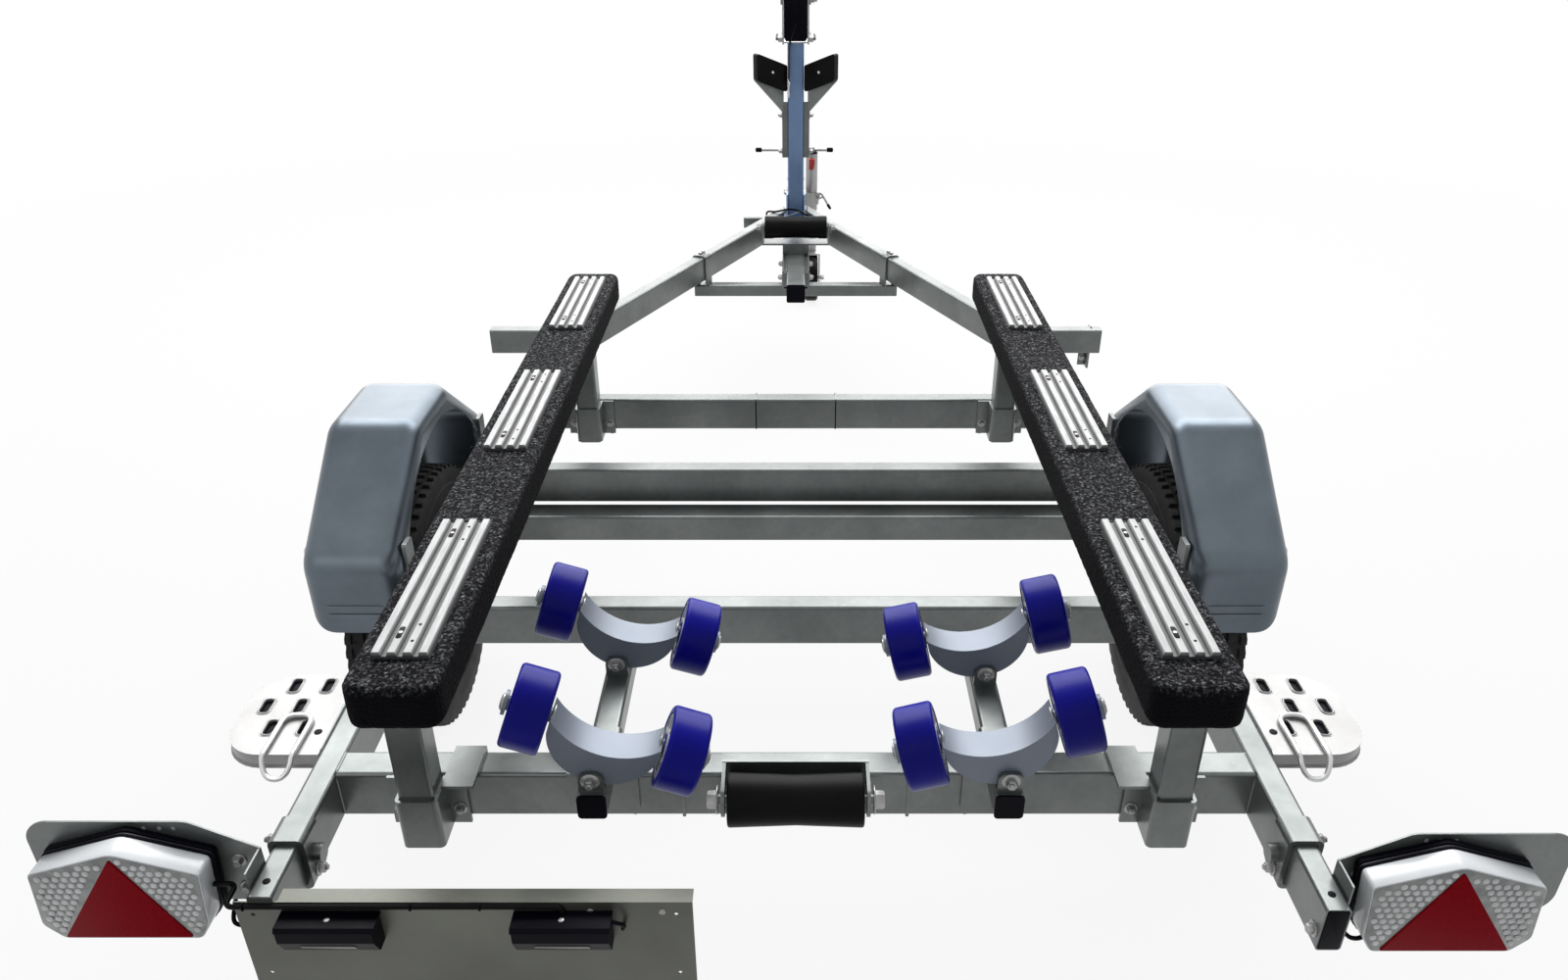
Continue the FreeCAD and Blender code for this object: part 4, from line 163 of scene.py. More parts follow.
class Form:
    """A piece in the making: closed forms in one mesh, each with the number of its paint."""

    def __init__(self):
        self.mesh = bmesh.new()

    def skin(self, rings, paint=0, looped=False):
        """Joins rings of equal count, and closes both ends unless it is looped."""
        rows = [[self.mesh.verts.new(point) for point in ring] for ring in rings]
        count = len(rows[0])
        faces = [(first[index], first[(index + 1) % count], second[(index + 1) % count], second[index])
                for first, second in zip(rows, rows[1:] + rows[:looped]) for index in range(count)]
        if not looped:
            faces += [rows[0][::-1], rows[-1]]
        for corners in faces:
            face = self.mesh.faces.new(corners)
            face.material_index = paint
            face.smooth = True
        return self

    def lathe(self, place, profile, paint=0, sides=24):
        """Turned about place's own Z from (height, radius) pairs."""
        rings = [oval((0, 0, height), (radius, 0, 0), (0, radius, 0), sides) for height, radius in profile]
        return self.skin([[place @ point for point in ring] for ring in rings], paint)

    def prism(self, place, outline, depth, paint=0, bevel=0.0):
        """An outline pushed along place's own Z, with both rims softened."""
        steps = [(0, 0), (depth, 0)]
        if bevel:
            slip = bevel * 0.3
            steps = [(0, bevel), (slip, slip), (bevel, 0)]
            steps += [(depth - height, inset) for inset, height in ((0, bevel), (slip, slip), (bevel, 0))]
        return self.skin([[place @ Vector((point.x, point.y, height)) for point in shrunk(outline, inset)]
                for height, inset in steps], paint)

    def block(self, low, high, paint=0, bevel=0.6):
        """A box between two corners with softened edges."""
        size = Vector(high) - Vector(low)
        middle = Vector(low) + size / 2
        return self.prism(facing((middle.x, middle.y, low[2]), UP), oblong(size.x, size.y, bevel * 1.5, 2),
                size.z, paint, bevel)

    def tube(self, points, radius, paint=0, sides=8, looped=False):
        """A round rod along points; radius may be a list with one for each."""
        points = [Vector(point) for point in points]
        count = len(points)
        radii = radius if isinstance(radius, list) else [radius] * count
        rings = []
        side = None
        for index, point in enumerate(points):
            before = points[index - 1] if index or looped else point
            after = points[(index + 1) % count] if index + 1 < count or looped else point
            ahead = (after - before).normalized()
            side = side - ahead * side.dot(ahead) if side else ahead.orthogonal()
            side.normalize()
            rings.append(oval(point, side * radii[index], ahead.cross(side) * radii[index], sides))
        return self.skin(rings, paint, looped)

    def bolt(self, spot, axis, width, stub=0.0, paint=0, washer=True):
        """A six-sided head on its washer, with a stub of thread."""
        place = facing(spot, axis)
        head = width * 0.62
        radius = width / 2 / cos(pi / 6)
        base = 1.6 if washer else 0.0
        if washer:
            self.lathe(place, [(0, width * 0.92), (base * 0.7, width * 0.92), (base, width * 0.86)], paint)
        lift = shifted(place, 0, 0, base)
        self.lathe(lift, [(0, radius), (head * 0.8, radius), (head, radius * 0.86)], paint, 6)
        if stub:
            thread = width * 0.3
            pitch = 1.5
            rings = [(head * 0.9, thread)]
            for step in range(int(stub / pitch)):
                rings += [(head + (step + 0.5) * pitch, thread), (head + (step + 1) * pitch, thread * 0.88)]
            self.lathe(lift, rings, paint, 12)

    def make(self, name, body, slot, *paints, sharp=35):
        """Ends the mesh, creased where faces turn hard, and hangs it on its body."""
        bmesh.ops.transform(self.mesh, matrix=Matrix.Translation(ORIGIN) @ Matrix.Scale(MM, 4),
                verts=self.mesh.verts)
        bmesh.ops.recalc_face_normals(self.mesh, faces=self.mesh.faces)
        limit = radians(sharp)
        for edge in self.mesh.edges:
            edge.smooth = edge.calc_face_angle(0) < limit
        data = bpy.data.meshes.new(name)
        self.mesh.to_mesh(data)
        self.mesh.free()
        for paint in paints or (slot,):
            data.materials.append(FINISHES[paint])
        piece = linked(name, data)
        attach(piece, body)
        return piece


# Materials
def add_node(tree, kind, sources=None, **settings):
    """A node whose inputs take a value or another node's output."""
    made = tree.nodes.new("ShaderNode" + kind)
    for name, value in settings.items():
        setattr(made, name, value)
    for key, value in (sources or {}).items():
        if isinstance(value, bpy.types.NodeSocket):
            tree.links.new(value, made.inputs[key])
        else:
            made.inputs[key].default_value = value
    return made


class Look:
    """One procedural material, built up node by node."""

    def __init__(self, name, **settings):
        self.material = bpy.data.materials.new(name)
        self.material.use_nodes = True
        self.tree = self.material.node_tree
        self.shader = self.tree.nodes["Principled BSDF"]
        self.place = self.node("TexCoord").outputs["Object"]
        for socket, value in settings.items():
            self.shader.inputs[socket.replace("_", " ")].default_value = value

    def node(self, kind, sources=None, **settings):
        return add_node(self.tree, kind, sources, **settings)

    def stretched(self, x, y, z):
        return self.node("Mapping", {"Vector": self.place, "Scale": (x, y, z)}).outputs["Vector"]

    def noise(self, scale, detail=3, roughness=0.5, place=None):
        sources = {"Vector": place or self.place, "Scale": scale, "Detail": detail, "Roughness": roughness}
        return self.node("TexNoise", sources).outputs["Fac"]

    def cells(self, scale, output="Distance"):
        return self.node("TexVoronoi", {"Vector": self.place, "Scale": scale}).outputs[output]

    def ramp(self, factor, *stops):
        """Colours for a factor, from (position, colour) pairs."""
        made = self.node("ValToRGB", {"Fac": factor})
        elements = made.color_ramp.elements
        while len(elements) < len(stops):
            elements.new(0.5)
        for element, (position, color) in zip(elements, stops):
            element.position = position
            element.color = (*color, 1)
        return made.outputs["Color"]

    def scaled(self, factor, low, high, start=0.0, end=1.0):
        """A value moved from start..end to low..high."""
        sources = {"Value": factor, "From Min": start, "From Max": end, "To Min": low, "To Max": high}
        return self.node("MapRange", sources).outputs["Result"]

    def blend(self, factor, first, second, kind="MIX"):
        """Two colours mixed, by the numbers of the colour sockets."""
        sources = {0: factor, 6: first, 7: second}
        return self.node("Mix", sources, data_type="RGBA", blend_type=kind).outputs[2]

    def color(self, source):
        self.tree.links.new(source, self.shader.inputs["Base Color"])

    def rough(self, source, low, high):
        self.tree.links.new(self.scaled(source, low, high), self.shader.inputs["Roughness"])

    def bump(self, height, strength, distance):
        """Adds relief on top of what is there."""
        made = self.node("Bump", {"Height": height, "Strength": strength, "Distance": distance})
        last = self.shader.inputs["Normal"].links
        if last:
            self.tree.links.new(last[0].from_socket, made.inputs["Normal"])
        self.tree.links.new(made.outputs["Normal"], self.shader.inputs["Normal"])


def grey(level, warm=0.0):
    """A grey, warm for a positive second number and cool for a negative one."""
    return (level * (1 + warm), level, level * (1 - warm))


def galvanised(name, dark, light, spangle=0.5, metal=0.8):
    """Zinc-dipped steel: cloudy patches, a faint spangle and slow changes of gloss."""
    look = Look(name, Metallic=metal, Coat_Weight=0.2, Coat_Roughness=0.25, Coat_IOR=1.5)
    base = look.ramp(look.noise(5, 5, 0.6), (0.3, dark), (0.7, light))
    crystals = look.ramp(look.cells(95, "Color"), (0, grey(0.78)), (1, grey(1)))
    look.color(look.blend(spangle, base, crystals, "MULTIPLY"))
    look.rough(look.noise(16, 4), 0.26, 0.46)
    look.bump(look.noise(240, 3), 0.06, 0.0006)
    look.bump(look.noise(9, 3), 0.12, 0.004)
    return look


def moulded(name, low, high, roughness, grain=700, depth=0.0003, shine=0.5):
    """Plastic or rubber with a fine grain and slightly uneven colour."""
    look = Look(name, Specular_IOR_Level=shine)
    look.color(look.ramp(look.noise(9, 4), (0.35, low), (0.65, high)))
    look.rough(look.noise(30, 3), roughness - 0.06, roughness + 0.08)
    look.bump(look.noise(grain, 2), 0.25, depth)
    return look


def painted(name, low, high, roughness):
    """Even paint over metal, with a little orange peel."""
    look = Look(name, Metallic=0.25)
    look.color(look.ramp(look.noise(6, 4), (0.3, low), (0.7, high)))
    look.rough(look.noise(18, 3), roughness - 0.05, roughness + 0.07)
    look.bump(look.noise(160, 2), 0.05, 0.0004)
    return look


def strip_look(name):
    """Pale grey plastic with painted shade in its valleys, and rubbed streaks along it."""
    valley, ridge = 0.7665, 0.7715
    look = Look(name, Specular_IOR_Level=0.4)
    height = look.node("SeparateXYZ", {"Vector": look.place}).outputs["Z"]
    rubbed = look.noise(30, 4, 0.6, look.stretched(6, 0.6, 6))
    pale = look.ramp(rubbed, (0.35, grey(0.32)), (0.65, grey(0.48)))
    # Painted shade: near black at and below the valley height, pale at the ridges.
    look.color(look.blend(look.scaled(height, 0, 1, valley, ridge), (0.07, 0.07, 0.07, 1), pale))
    look.rough(rubbed, 0.35, 0.55)
    look.bump(look.noise(500, 2), 0.2, 0.0003)
    return look


def carpet_look(name):
    """Black looped pile with grey flecks, partly painted glints, and painted shade between tufts and where it
    faces down.
    """
    look = Look(name, Roughness=0.95, Specular_IOR_Level=0.08)
    fibres = look.noise(190, 4, 0.75)
    tufts = look.cells(230)
    # Grey flecks: partly grey fibres, partly painted glints of light on the pile.
    fibre_flecks_and_glints = look.ramp(fibres, (0.46, (0.004, 0.004, 0.005)), (0.55, (0.06, 0.06, 0.065)),
            (0.66, grey(0.30, -0.03)))
    # Painted shade: darker in the gaps between the tufts.
    depth = look.ramp(tufts, (0.25, grey(0)), (0.75, grey(0.7)))
    pile_with_gap_shade = look.blend(depth, fibre_flecks_and_glints, (0.004, 0.004, 0.005, 1))
    # Painted shade: sides and underside turn near black, only faces turned up stay pale.
    outward = look.node("TexCoord").outputs["Normal"]
    up = look.node("SeparateXYZ", {"Vector": outward}).outputs["Z"]
    look.color(look.blend(look.scaled(up, 0, 1, 0.1, 0.8), (0.002, 0.002, 0.003, 1), pile_with_gap_shade))
    look.bump(tufts, 0.9, 0.003)
    look.bump(fibres, 0.8, 0.003)
    return look


def tyre_look(name):
    """Dull black rubber."""
    look = Look(name, Specular_IOR_Level=0.2)
    tone = look.noise(14, 4)
    look.color(look.ramp(tone, (0.3, (0.012, 0.012, 0.013)), (0.75, (0.032, 0.031, 0.03))))
    look.rough(look.noise(40, 3), 0.6, 0.8)
    look.bump(look.noise(500, 2), 0.2, 0.0003)
    return look


def webbing_look(name):
    """Woven strap: cross ribs over fine yarns."""
    look = Look(name, Roughness=0.8, Specular_IOR_Level=0.15)
    sources = {"Vector": look.place, "Scale": 260, "Distortion": 0.6, "Detail": 1}
    weave = look.node("TexWave", sources, bands_direction="DIAGONAL").outputs["Color"]
    look.color(look.ramp(weave, (0.2, (0.008, 0.008, 0.01)), (0.9, (0.03, 0.03, 0.034))))
    look.bump(weave, 0.5, 0.0004)
    return look


def board_look(name):
    """Bare aluminium sheet with faint rolling lines and dull smears."""
    look = Look(name, Metallic=0.55)
    lines = look.noise(60, 4, 0.6, look.stretched(1, 8, 22))
    smears = look.noise(5, 4)
    base = look.ramp(smears, (0.3, (0.09, 0.094, 0.08)), (0.7, (0.15, 0.155, 0.132)))
    look.color(look.blend(0.25, base, look.ramp(lines, (0.3, grey(0.6)), (0.7, grey(1))), "MULTIPLY"))
    look.rough(smears, 0.35, 0.5)
    look.bump(lines, 0.05, 0.0003)
    return look


def lens_look(name):
    """Clear ribbed plastic over a bright reflector, seen as silver grey."""
    look = Look(name, Roughness=0.18, Metallic=0.3, Coat_Weight=0.6, Coat_Roughness=0.05)
    look.color(look.ramp(look.noise(60, 2), (0.35, (0.13, 0.14, 0.135)), (0.65, (0.24, 0.25, 0.24))))
    look.bump(look.cells(260), 0.3, 0.0008)
    return look


def reflector_look(name):
    """Dark red prismatic reflector."""
    look = Look(name, Roughness=0.35, Specular_IOR_Level=0.03)
    prisms = look.cells(420)
    look.color(look.ramp(prisms, (0, (0.36, 0.002, 0.010)), (0.6, (0.24, 0.001, 0.006))))
    look.bump(prisms, 0.25, 0.0004)
    return look


# Each look: how it is made, its name and its values
MAKERS = (
    (galvanised, "galvanised", (0.1, 0.11, 0.107), (0.175, 0.188, 0.184), 0.5, 0.72),
    (painted, "cradle_grey", (0.15, 0.175, 0.215), (0.175, 0.20, 0.245), 0.4),
    (painted, "wheel_silver", grey(0.45), grey(0.52), 0.38),
    (tyre_look, "tyre"),
    (carpet_look, "carpet"),
    (strip_look, "strip_grey"),
    (moulded, "blue_roller", (0.001, 0.001, 0.17), (0.002, 0.002, 0.23), 0.34, 300, 0.0003, 0.12),
    (moulded, "black_rubber", grey(0.001), grey(0.004), 0.42, 700, 0.0003, 0.07),
    (moulded, "black_plastic", (0.001, 0.001, 0.003), (0.003, 0.003, 0.007), 0.4, 700, 0.0003, 0.05),
    (galvanised, "pale_plate", grey(0.25, 0.015), grey(0.34, 0.015), 0.25, 0.3),
    (board_look, "board_sheet"),
    (lens_look, "lamp_lens"),
    (webbing_look, "webbing"),
    (galvanised, "zinc", grey(0.24, 0.01), grey(0.36, 0.01), 0.2),
    (reflector_look, "reflector_red"),
    # A blue copy of the galvanised steel for the winch post: painted sky reflection.
    (galvanised, "post_sky_tint", (0.13, 0.22, 0.40), (0.19, 0.29, 0.48), 0.2, 0.4),
    # A darker, bluer copy of the galvanised steel for the mudguards: painted shade and painted sky reflection.
    (galvanised, "guard", (0.08, 0.1, 0.12), (0.125, 0.15, 0.175), 0.15, 0.85),
    (moulded, "lock_red", (0.35, 0.01, 0.01), (0.42, 0.015, 0.012), 0.4),
    (moulded, "disc_grey", grey(0.36, -0.04), grey(0.44, -0.04), 0.45),
    (galvanised, "bright_zinc", grey(0.55), grey(0.7), 0.1),
    (moulded, "smoked_lens", grey(0.01), grey(0.025), 0.12, 90, 0.0001),
    (moulded, "lens_edge", grey(0.66, -0.02), grey(0.74, -0.02), 0.2, 200, 0.0001),
    (moulded, "led_dome", grey(0.62), grey(0.82), 0.1, 90, 0.0001),
)
FINISHES = {name: kind(name, *values).material for kind, name, *values in MAKERS}
# The winch post and mudguards take the tinted copies of galvanised steel: painted sky reflection, and painted
# shade on the mudguards.
FINISH_OF = {"winch_post": "post_sky_tint", "mudguard_left": "guard", "mudguard_right": "guard"}
for name, node in frame["nodes"].items():
    node.data.materials.clear()
    node.data.materials.append(FINISHES[FINISH_OF.get(name, SLOT_OF[name])])


# Camera, light and floor
PHOTO_WIDTH = 1600
PHOTO_FOCAL = 1155
PHOTO_MIDDLE = 812
SENSOR = 36
CAMERA_PLACE = ORIGIN + at(0, -2020, 1634) * MM
CAMERA_PITCH = radians(28.6)
FLOOR_REACH = 18
# Each light's name, place, target, width, height and power
LIGHTS = (("overhead", (0, 2.1, 4.5), (0, -1.4, 0.5), 8.0, 3.4, 560),
        ("ahead", (0, 7.0, 2.6), (0, -0.4, 0.5), 12.0, 4.4, 400),
        ("behind", (-2.6, -5.4, 3.4), (0, -1.2, 0.4), 3.0, 2.0, 15))


def make_camera():
    data = bpy.data.cameras.new("camera")
    data.sensor_width = SENSOR
    data.lens = PHOTO_FOCAL * SENSOR / PHOTO_WIDTH
    data.shift_x = (PHOTO_WIDTH / 2 - PHOTO_MIDDLE) / PHOTO_WIDTH
    data.clip_start = 0.05
    data.clip_end = 60
    camera = linked("camera", data)
    camera.location = CAMERA_PLACE
    camera.rotation_euler = (pi / 2 - CAMERA_PITCH, 0, 0)
    bpy.context.scene.camera = camera


def make_lights():
    for name, place, target, width, height, power in LIGHTS:
        data = bpy.data.lights.new(name, "AREA")
        data.shape = "RECTANGLE"
        data.size = width
        data.size_y = height
        data.energy = power
        light = linked(name, data)
        light.location = place
        light.rotation_euler = (Vector(target) - Vector(place)).to_track_quat("-Z", "Y").to_euler()


def shown_white(tree, plain, white, share=None):
    """Plain, turned to white by a share where a camera, mirror or glass ray arrives."""
    path = add_node(tree, "LightPath").outputs
    seen = path["Is Camera Ray"]
    for ray in ("Is Glossy Ray", "Is Transmission Ray"):
        seen = add_node(tree, "Math", {0: seen, 1: path[ray]}, operation="MAXIMUM").outputs[0]
    if share:
        seen = add_node(tree, "Math", {0: seen, 1: share}, operation="MULTIPLY").outputs[0]
    return add_node(tree, "MixShader", {0: seen, 1: plain, 2: white}).outputs[0]


def make_world():
    """A soft sky that camera, mirror and glass rays see as plain white."""
    world = bpy.data.worlds.new("world")
    bpy.context.scene.world = world
    world.use_nodes = True
    tree = world.node_tree
    tree.nodes.clear()
    shades = [add_node(tree, "Background", {"Color": color, "Strength": strength}).outputs[0]
            for color, strength in (((0.92, 0.96, 1, 1), 0.35), ((1, 1, 1, 1), 1))]
    add_node(tree, "OutputWorld", {"Surface": shown_white(tree, *shades)})


def make_floor():
    """A pale floor that keeps a faint shadow and fades to white further out."""
    mesh = bpy.data.meshes.new("floor")
    corners = [(x * FLOOR_REACH, y * FLOOR_REACH, 0) for x, y in ((-1, -1), (1, -1), (1, 1), (-1, 1))]
    mesh.from_pydata(corners, [], [(0, 1, 2, 3)])
    look = Look("floor", Base_Color=(0.5, 0.5, 0.5, 1), Roughness=0.9, Specular_IOR_Level=0.1)
    white = look.node("Emission").outputs[0]
    away = look.node("VectorMath", {0: look.place}, operation="LENGTH").outputs["Value"]
    shown = shown_white(look.tree, look.shader.outputs[0], white, look.scaled(away, 0.88, 1, 2, 6))
    look.tree.links.new(shown, look.tree.nodes["Material Output"].inputs["Surface"])
    mesh.materials.append(look.material)
    floor = linked("floor", mesh)


bpy.context.scene.view_settings.view_transform = "Standard"
make_camera()
make_world()
make_floor()
make_lights()


# Carpets
BUNK_X = 500
BUNK_HALF = 61.5
BUNK_LOW = 697
BUNK_TOP = 762
BUNK_REAR = -930
BUNK_FRONT = 707
STRIP_LENGTH = 335
STRIP_TOP = 772.6


def carpet_ring(side, y, shrink, drop):
    """One section of a carpeted bunk, its pile a little uneven."""
    half_width = BUNK_HALF - shrink
    half_height = (BUNK_TOP - BUNK_LOW) / 2 - drop
    radius = min(11, half_height / 1.2)
    ring = []
    corners = [(-1, -1), (1, -1), (1, 1), (-1, 1)]
    for first, second, steps in zip(corners, corners[1:] + corners[:1], (20, 11, 20, 11)):
        for step in range(steps):
            x, z = [(a + (b - a) * step / steps) * half
                    for a, b, half in zip(first, second, (half_width, half_height))]
            over_x = abs(x) - (half_width - radius)
            over_z = abs(z) - (half_height - radius)
            if over_x > 0 and over_z > 0:
                share = min(1, radius / hypot(over_x, over_z))
                x = copysign(half_width - radius + over_x * share, x)
                z = copysign(half_height - radius + over_z * share, z)
            else:
                over_x, over_z = (1, 0) if over_x > over_z else (0, 1)
            out = Vector((copysign(over_x, x), copysign(over_z, z))).normalized()
            seed = Vector((x + side * 900, y, z))
            pile = noise.noise(seed * 0.21) * 0.55 + noise.noise(seed * 0.9) * 0.35 - 0.35
            slack = noise.noise(seed * 0.012) * 0.5
            ring.append((BUNK_X * side + x + out.x * (pile + slack), y,
                    (BUNK_LOW + BUNK_TOP) / 2 + z + out.y * pile))
    return ring


def make_carpets():
    """The bunks' carpet, tucked in at both ends."""
    bend = 26
    edge = 9
    steps = 270
    start = BUNK_REAR + bend
    run = BUNK_FRONT - bend - start
    ends = []
    for turn in QUARTER:
        inset = bend * (1 - cos(turn))
        ends.append((inset, bend * (1 - sin(turn)), edge * max(0, 1 - inset / edge) ** 2))
    for word, side in SIDES:
        rings = [carpet_ring(side, BUNK_REAR + inset, shrink, drop) for inset, shrink, drop in ends]
        rings += [carpet_ring(side, start + run * step / steps, 0, 0) for step in range(1, steps)]
        rings += [carpet_ring(side, BUNK_FRONT - inset, shrink, drop) for inset, shrink, drop in ends[::-1]]
        piece = Form().skin(rings).make(f"carpet_{word}", "chassis", "carpet", sharp=70)
        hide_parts(f"bunk_{word}")


def make_strip_screws():
    """Slots near the ends of each strip, with a screw sunk in each."""
    form = Form()
    margin = 63
    run = BUNK_FRONT - BUNK_REAR - 2 * margin - STRIP_LENGTH
    for side in SIGNS:
        for number in range(3):
            start = BUNK_REAR + margin + run * number / 2
            for y in (start + 42, start + STRIP_LENGTH - 42):
                place = facing((BUNK_X * side - 10.2, y, STRIP_TOP), UP)
                form.prism(place, oblong(7.5, 26, 3.6), 0.7, 0, 0.2)
                form.lathe(place, [(0, 3), (1.2, 3), (1.6, 2.2)], 1, 12)
                for reach in (-18, 18):
                    spot = facing((BUNK_X * side + 10.2, y + reach, STRIP_TOP), UP)
                    form.lathe(spot, [(0, 2.2), (0.7, 2.2), (1, 1.6)], 0, 10)
    form.make("strip_slots", "chassis", "black_plastic", "black_plastic", "zinc")


# Wheels
TYRE_OUTER = 280
TYRE_PITCHES = 60
TREAD_HALF = 62
TREAD_PHASES = (0.0, 0.001, 0.1, 0.101, 0.16, 0.161, 0.2, 0.201, 0.6)
# Each row of blocks from edge to edge, and how far along the pitch it is shifted
BLOCK_ROWS = ((-62, -50, 0), (-42, -25, 0.35), (-17, 17, 0.7), (25, 42, 0.35), (50, 62, 0))
TYRE_WALL = ((-55, 166), (-57, 171), (-59.5, 178), (-66, 192), (-67.2, 196), (-68.4, 197), (-69, 212),
        (-70, 224), (-69, 238), (-68.6, 240), (-67.6, 241), (-66.5, 254), (-64.5, 266))
TYRE_INSIDE = ((44, 168), (58, 200), (60, 240), (52, 264), (0, 266), (-52, 264), (-60, 240), (-58, 200),
        (-44, 168))


def tread_radius(across, phase):
    """The tyre's radius across the tread, with a sipe at the start of each pitch."""
    reach = abs(across)
    crown = TYRE_OUTER - 3.2 * (reach / TREAD_HALF) ** 2
    for edge, depth, share in ((19, 3.5, 0.1), (44, 6, 0.16), (TREAD_HALF, 6.5, 0.2)):
        if reach <= edge:
            return crown - (depth if phase < share else 0)


def tyre_section(phase):
    """The tyre's outline at a phase of its pitch, as (across, radius, lean)."""
    shoulder = 271 if phase >= 0.2 else 268
    skin = [(x, radius, 0) for x, radius in TYRE_WALL] + [(-63, shoulder, 0)]
    for number, (left, right, shift) in enumerate(BLOCK_ROWS):
        lean = shift * tau / TYRE_PITCHES
        skin += [(x, tread_radius(x, phase + 0.0005), lean) for x in (left, (left + right) / 2, right)]
        if right < TREAD_HALF:
            skin += [(x, TYRE_OUTER - 8, lean) for x in (right + 1, BLOCK_ROWS[number + 1][0] - 1)]
    skin += [(63, shoulder, 0)] + [(-x, radius, 0) for x, radius in TYRE_WALL[::-1]]
    return skin + [(x, radius, 0) for x, radius in TYRE_INSIDE]


def make_tyres():
    """Tyres with leaning rows of blocks and ribbed walls."""
    for word, _ in SIDES:
        middle = joint_place(f"wheel_{word}_spin")
        rings = []
        for pitch in range(TYRE_PITCHES):
            for phase in TREAD_PHASES:
                turn = tau * (pitch + phase) / TYRE_PITCHES
                rings.append([middle + at(x, radius * sin(turn + lean), radius * cos(turn + lean))
                        for x, radius, lean in tyre_section(phase)])
        piece = Form().skin(rings, looped=True).make(f"tread_{word}", f"wheel_{word}", "tyre", sharp=40)
        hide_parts(f"tyre_{word}")


def make_wheel_fittings():
    """Wheel bolts on their cones, and the valve."""
    for word, side in SIDES:
        form = Form()
        middle = joint_place(f"wheel_{word}_spin")
        out = at(side, 0, 0)
        for number in range(4):
            turn = tau * (number + 0.5) / 4
            spot = middle + at(24 * side, 50 * sin(turn), 50 * cos(turn))
            form.lathe(facing(spot, out), [(-1, 11), (1.5, 11), (3, 9.6)])
            form.bolt(spot + out * 2.4, out, 17, washer=False)
        stem = [middle + at(x * side, 0, z) for x, z in ((2, 126), (18, 120), (36, 116))]
        form.tube(smooth_path(stem, 4), 4.2, 1, 12)
        form.lathe(facing(stem[-1], (side, 0, -0.2)), [(-2, 4.8), (8, 4.8), (9, 4)], 1, 12)
        form.make(f"wheel_fittings_{word}", f"wheel_{word}", "zinc", "zinc", "black_plastic")


# Rollers
DISC_PROFILE = [(0, 16.4), (0, 45.7), (8, 45.7), (9, 44.5), (9, 41), (6.5, 40), (6.5, 24), (9, 23), (9, 17),
        (8.5, 16.4)]
CRADLE_TILT = {"rear_left": 20, "rear_right": -16, "front_left": 18, "front_right": -14}


def make_roller_discs():
    """Pale ribbed discs set into both sides of every roller."""
    for corner in CRADLES:
        for end in ("outer", "inner"):
            name = f"roller_{corner}_{end}"
            axis = Vector(JOINTS[f"{name}_spin"]["axis"]).normalized()
            form = Form()
            for out in (-axis, axis):
                base = facing(joint_place(f"{name}_spin") + out * 16.8, out, UP)
                form.skin([[base @ at(radius * cos(turn), radius * sin(turn), height)
                        for height, radius in DISC_PROFILE] for turn in turns(40)], looped=True)
                for turn in turns(8):
                    spoke = shifted(base @ Matrix.Rotation(turn, 4, "Z"), 32, 0, 6)
                    form.prism(spoke, oblong(17, 3, 0.8, 2), 2.6, 0, 0.4)
            form.make(f"{name}_discs", name, "strip_grey", "disc_grey")


def make_cradle_fittings():
    """Caps and washers on the roller shafts."""
    for corner in CRADLES:
        turn = radians(CRADLE_TILT[corner])
        across = at(cos(turn), 0, -sin(turn))
        middle = joint_place(f"cradle_{corner}_swing") + at(sin(turn), 0, cos(turn)) * 66
        form = Form()
        for out in (-across, across):
            form.lathe(facing(middle + out * 141, out), [(-0.4, 12), (2, 11.5), (4, 8), (4.6, 3)])
            form.lathe(facing(middle + out * 73, out), [(-0.3, 15), (1.2, 15), (1.4, 14)])
        form.make(f"cradle_{corner}_fittings", f"cradle_{corner}", "zinc")


def make_pivot_bolts():
    """Heads and nuts of the cradle pivots."""
    form = Form()
    for corner in CRADLES:
        for way in SIGNS:
            spot = joint_place(f"cradle_{corner}_swing") + at(0, way * 32, 0)
            form.bolt(spot, (0, way, 0), 14, 3)
    form.make("pivot_bolts", "chassis", "zinc")


def make_keel_fittings():
    """Bolts and washers of the keel rollers' shafts."""
    form = Form()
    for y, z, half in ((-837.5, 496, 109), (1880, 550.5, 121.5)):
        for side in SIGNS:
            form.bolt((side * half, y, z), (side, 0, 0), 22)
            form.lathe(facing((side * (half - 14.6), y, z), (side, 0, 0)), [(0, 14), (1.2, 14)])
    form.make("keel_bolts", "chassis", "zinc")


# Lamps
RAIL_X = 680
RAIL_IN = 660
RAIL_OUT = 700
RAIL_TOP = 500
LAMP_X = {"left": -866, "right": 832}
LAMP_FACE = {"left": -951, "right": -972}
LAMP_MIDDLE = 484
LAMP_CORNERS = ((-91, -78, 8), (91, -78, 8), (115.5, -51, 8), (107.5, 42, 8), (-8, 78, 10), (-115.5, 42, 8),
        (-107.5, -51, 8))
TRIANGLE_CORNERS = ((87, -71), (-7, 68), (-80, -71))
# Each layer's start, depth, inset, paint and bevel: base, seal, step, lens and window
LAMP_LAYERS = ((0, 9, 0, 0, 2), (9, 2.4, 2.4, 3, 0.6), (11.4, 4, 1, 0, 1.4), (15.4, 33, 2.4, 1, 2.2),
        (48, 1, 4.4, 2, 0.4))
WINDOW_TOP = 49
DOME_PITCH = 11.6
BOARD_FACE = -1011


def mirrored(corners, side):
    """An outline for either side, counter-clockwise on both."""
    return [(x * side, *rest) for x, *rest in corners[::side]]


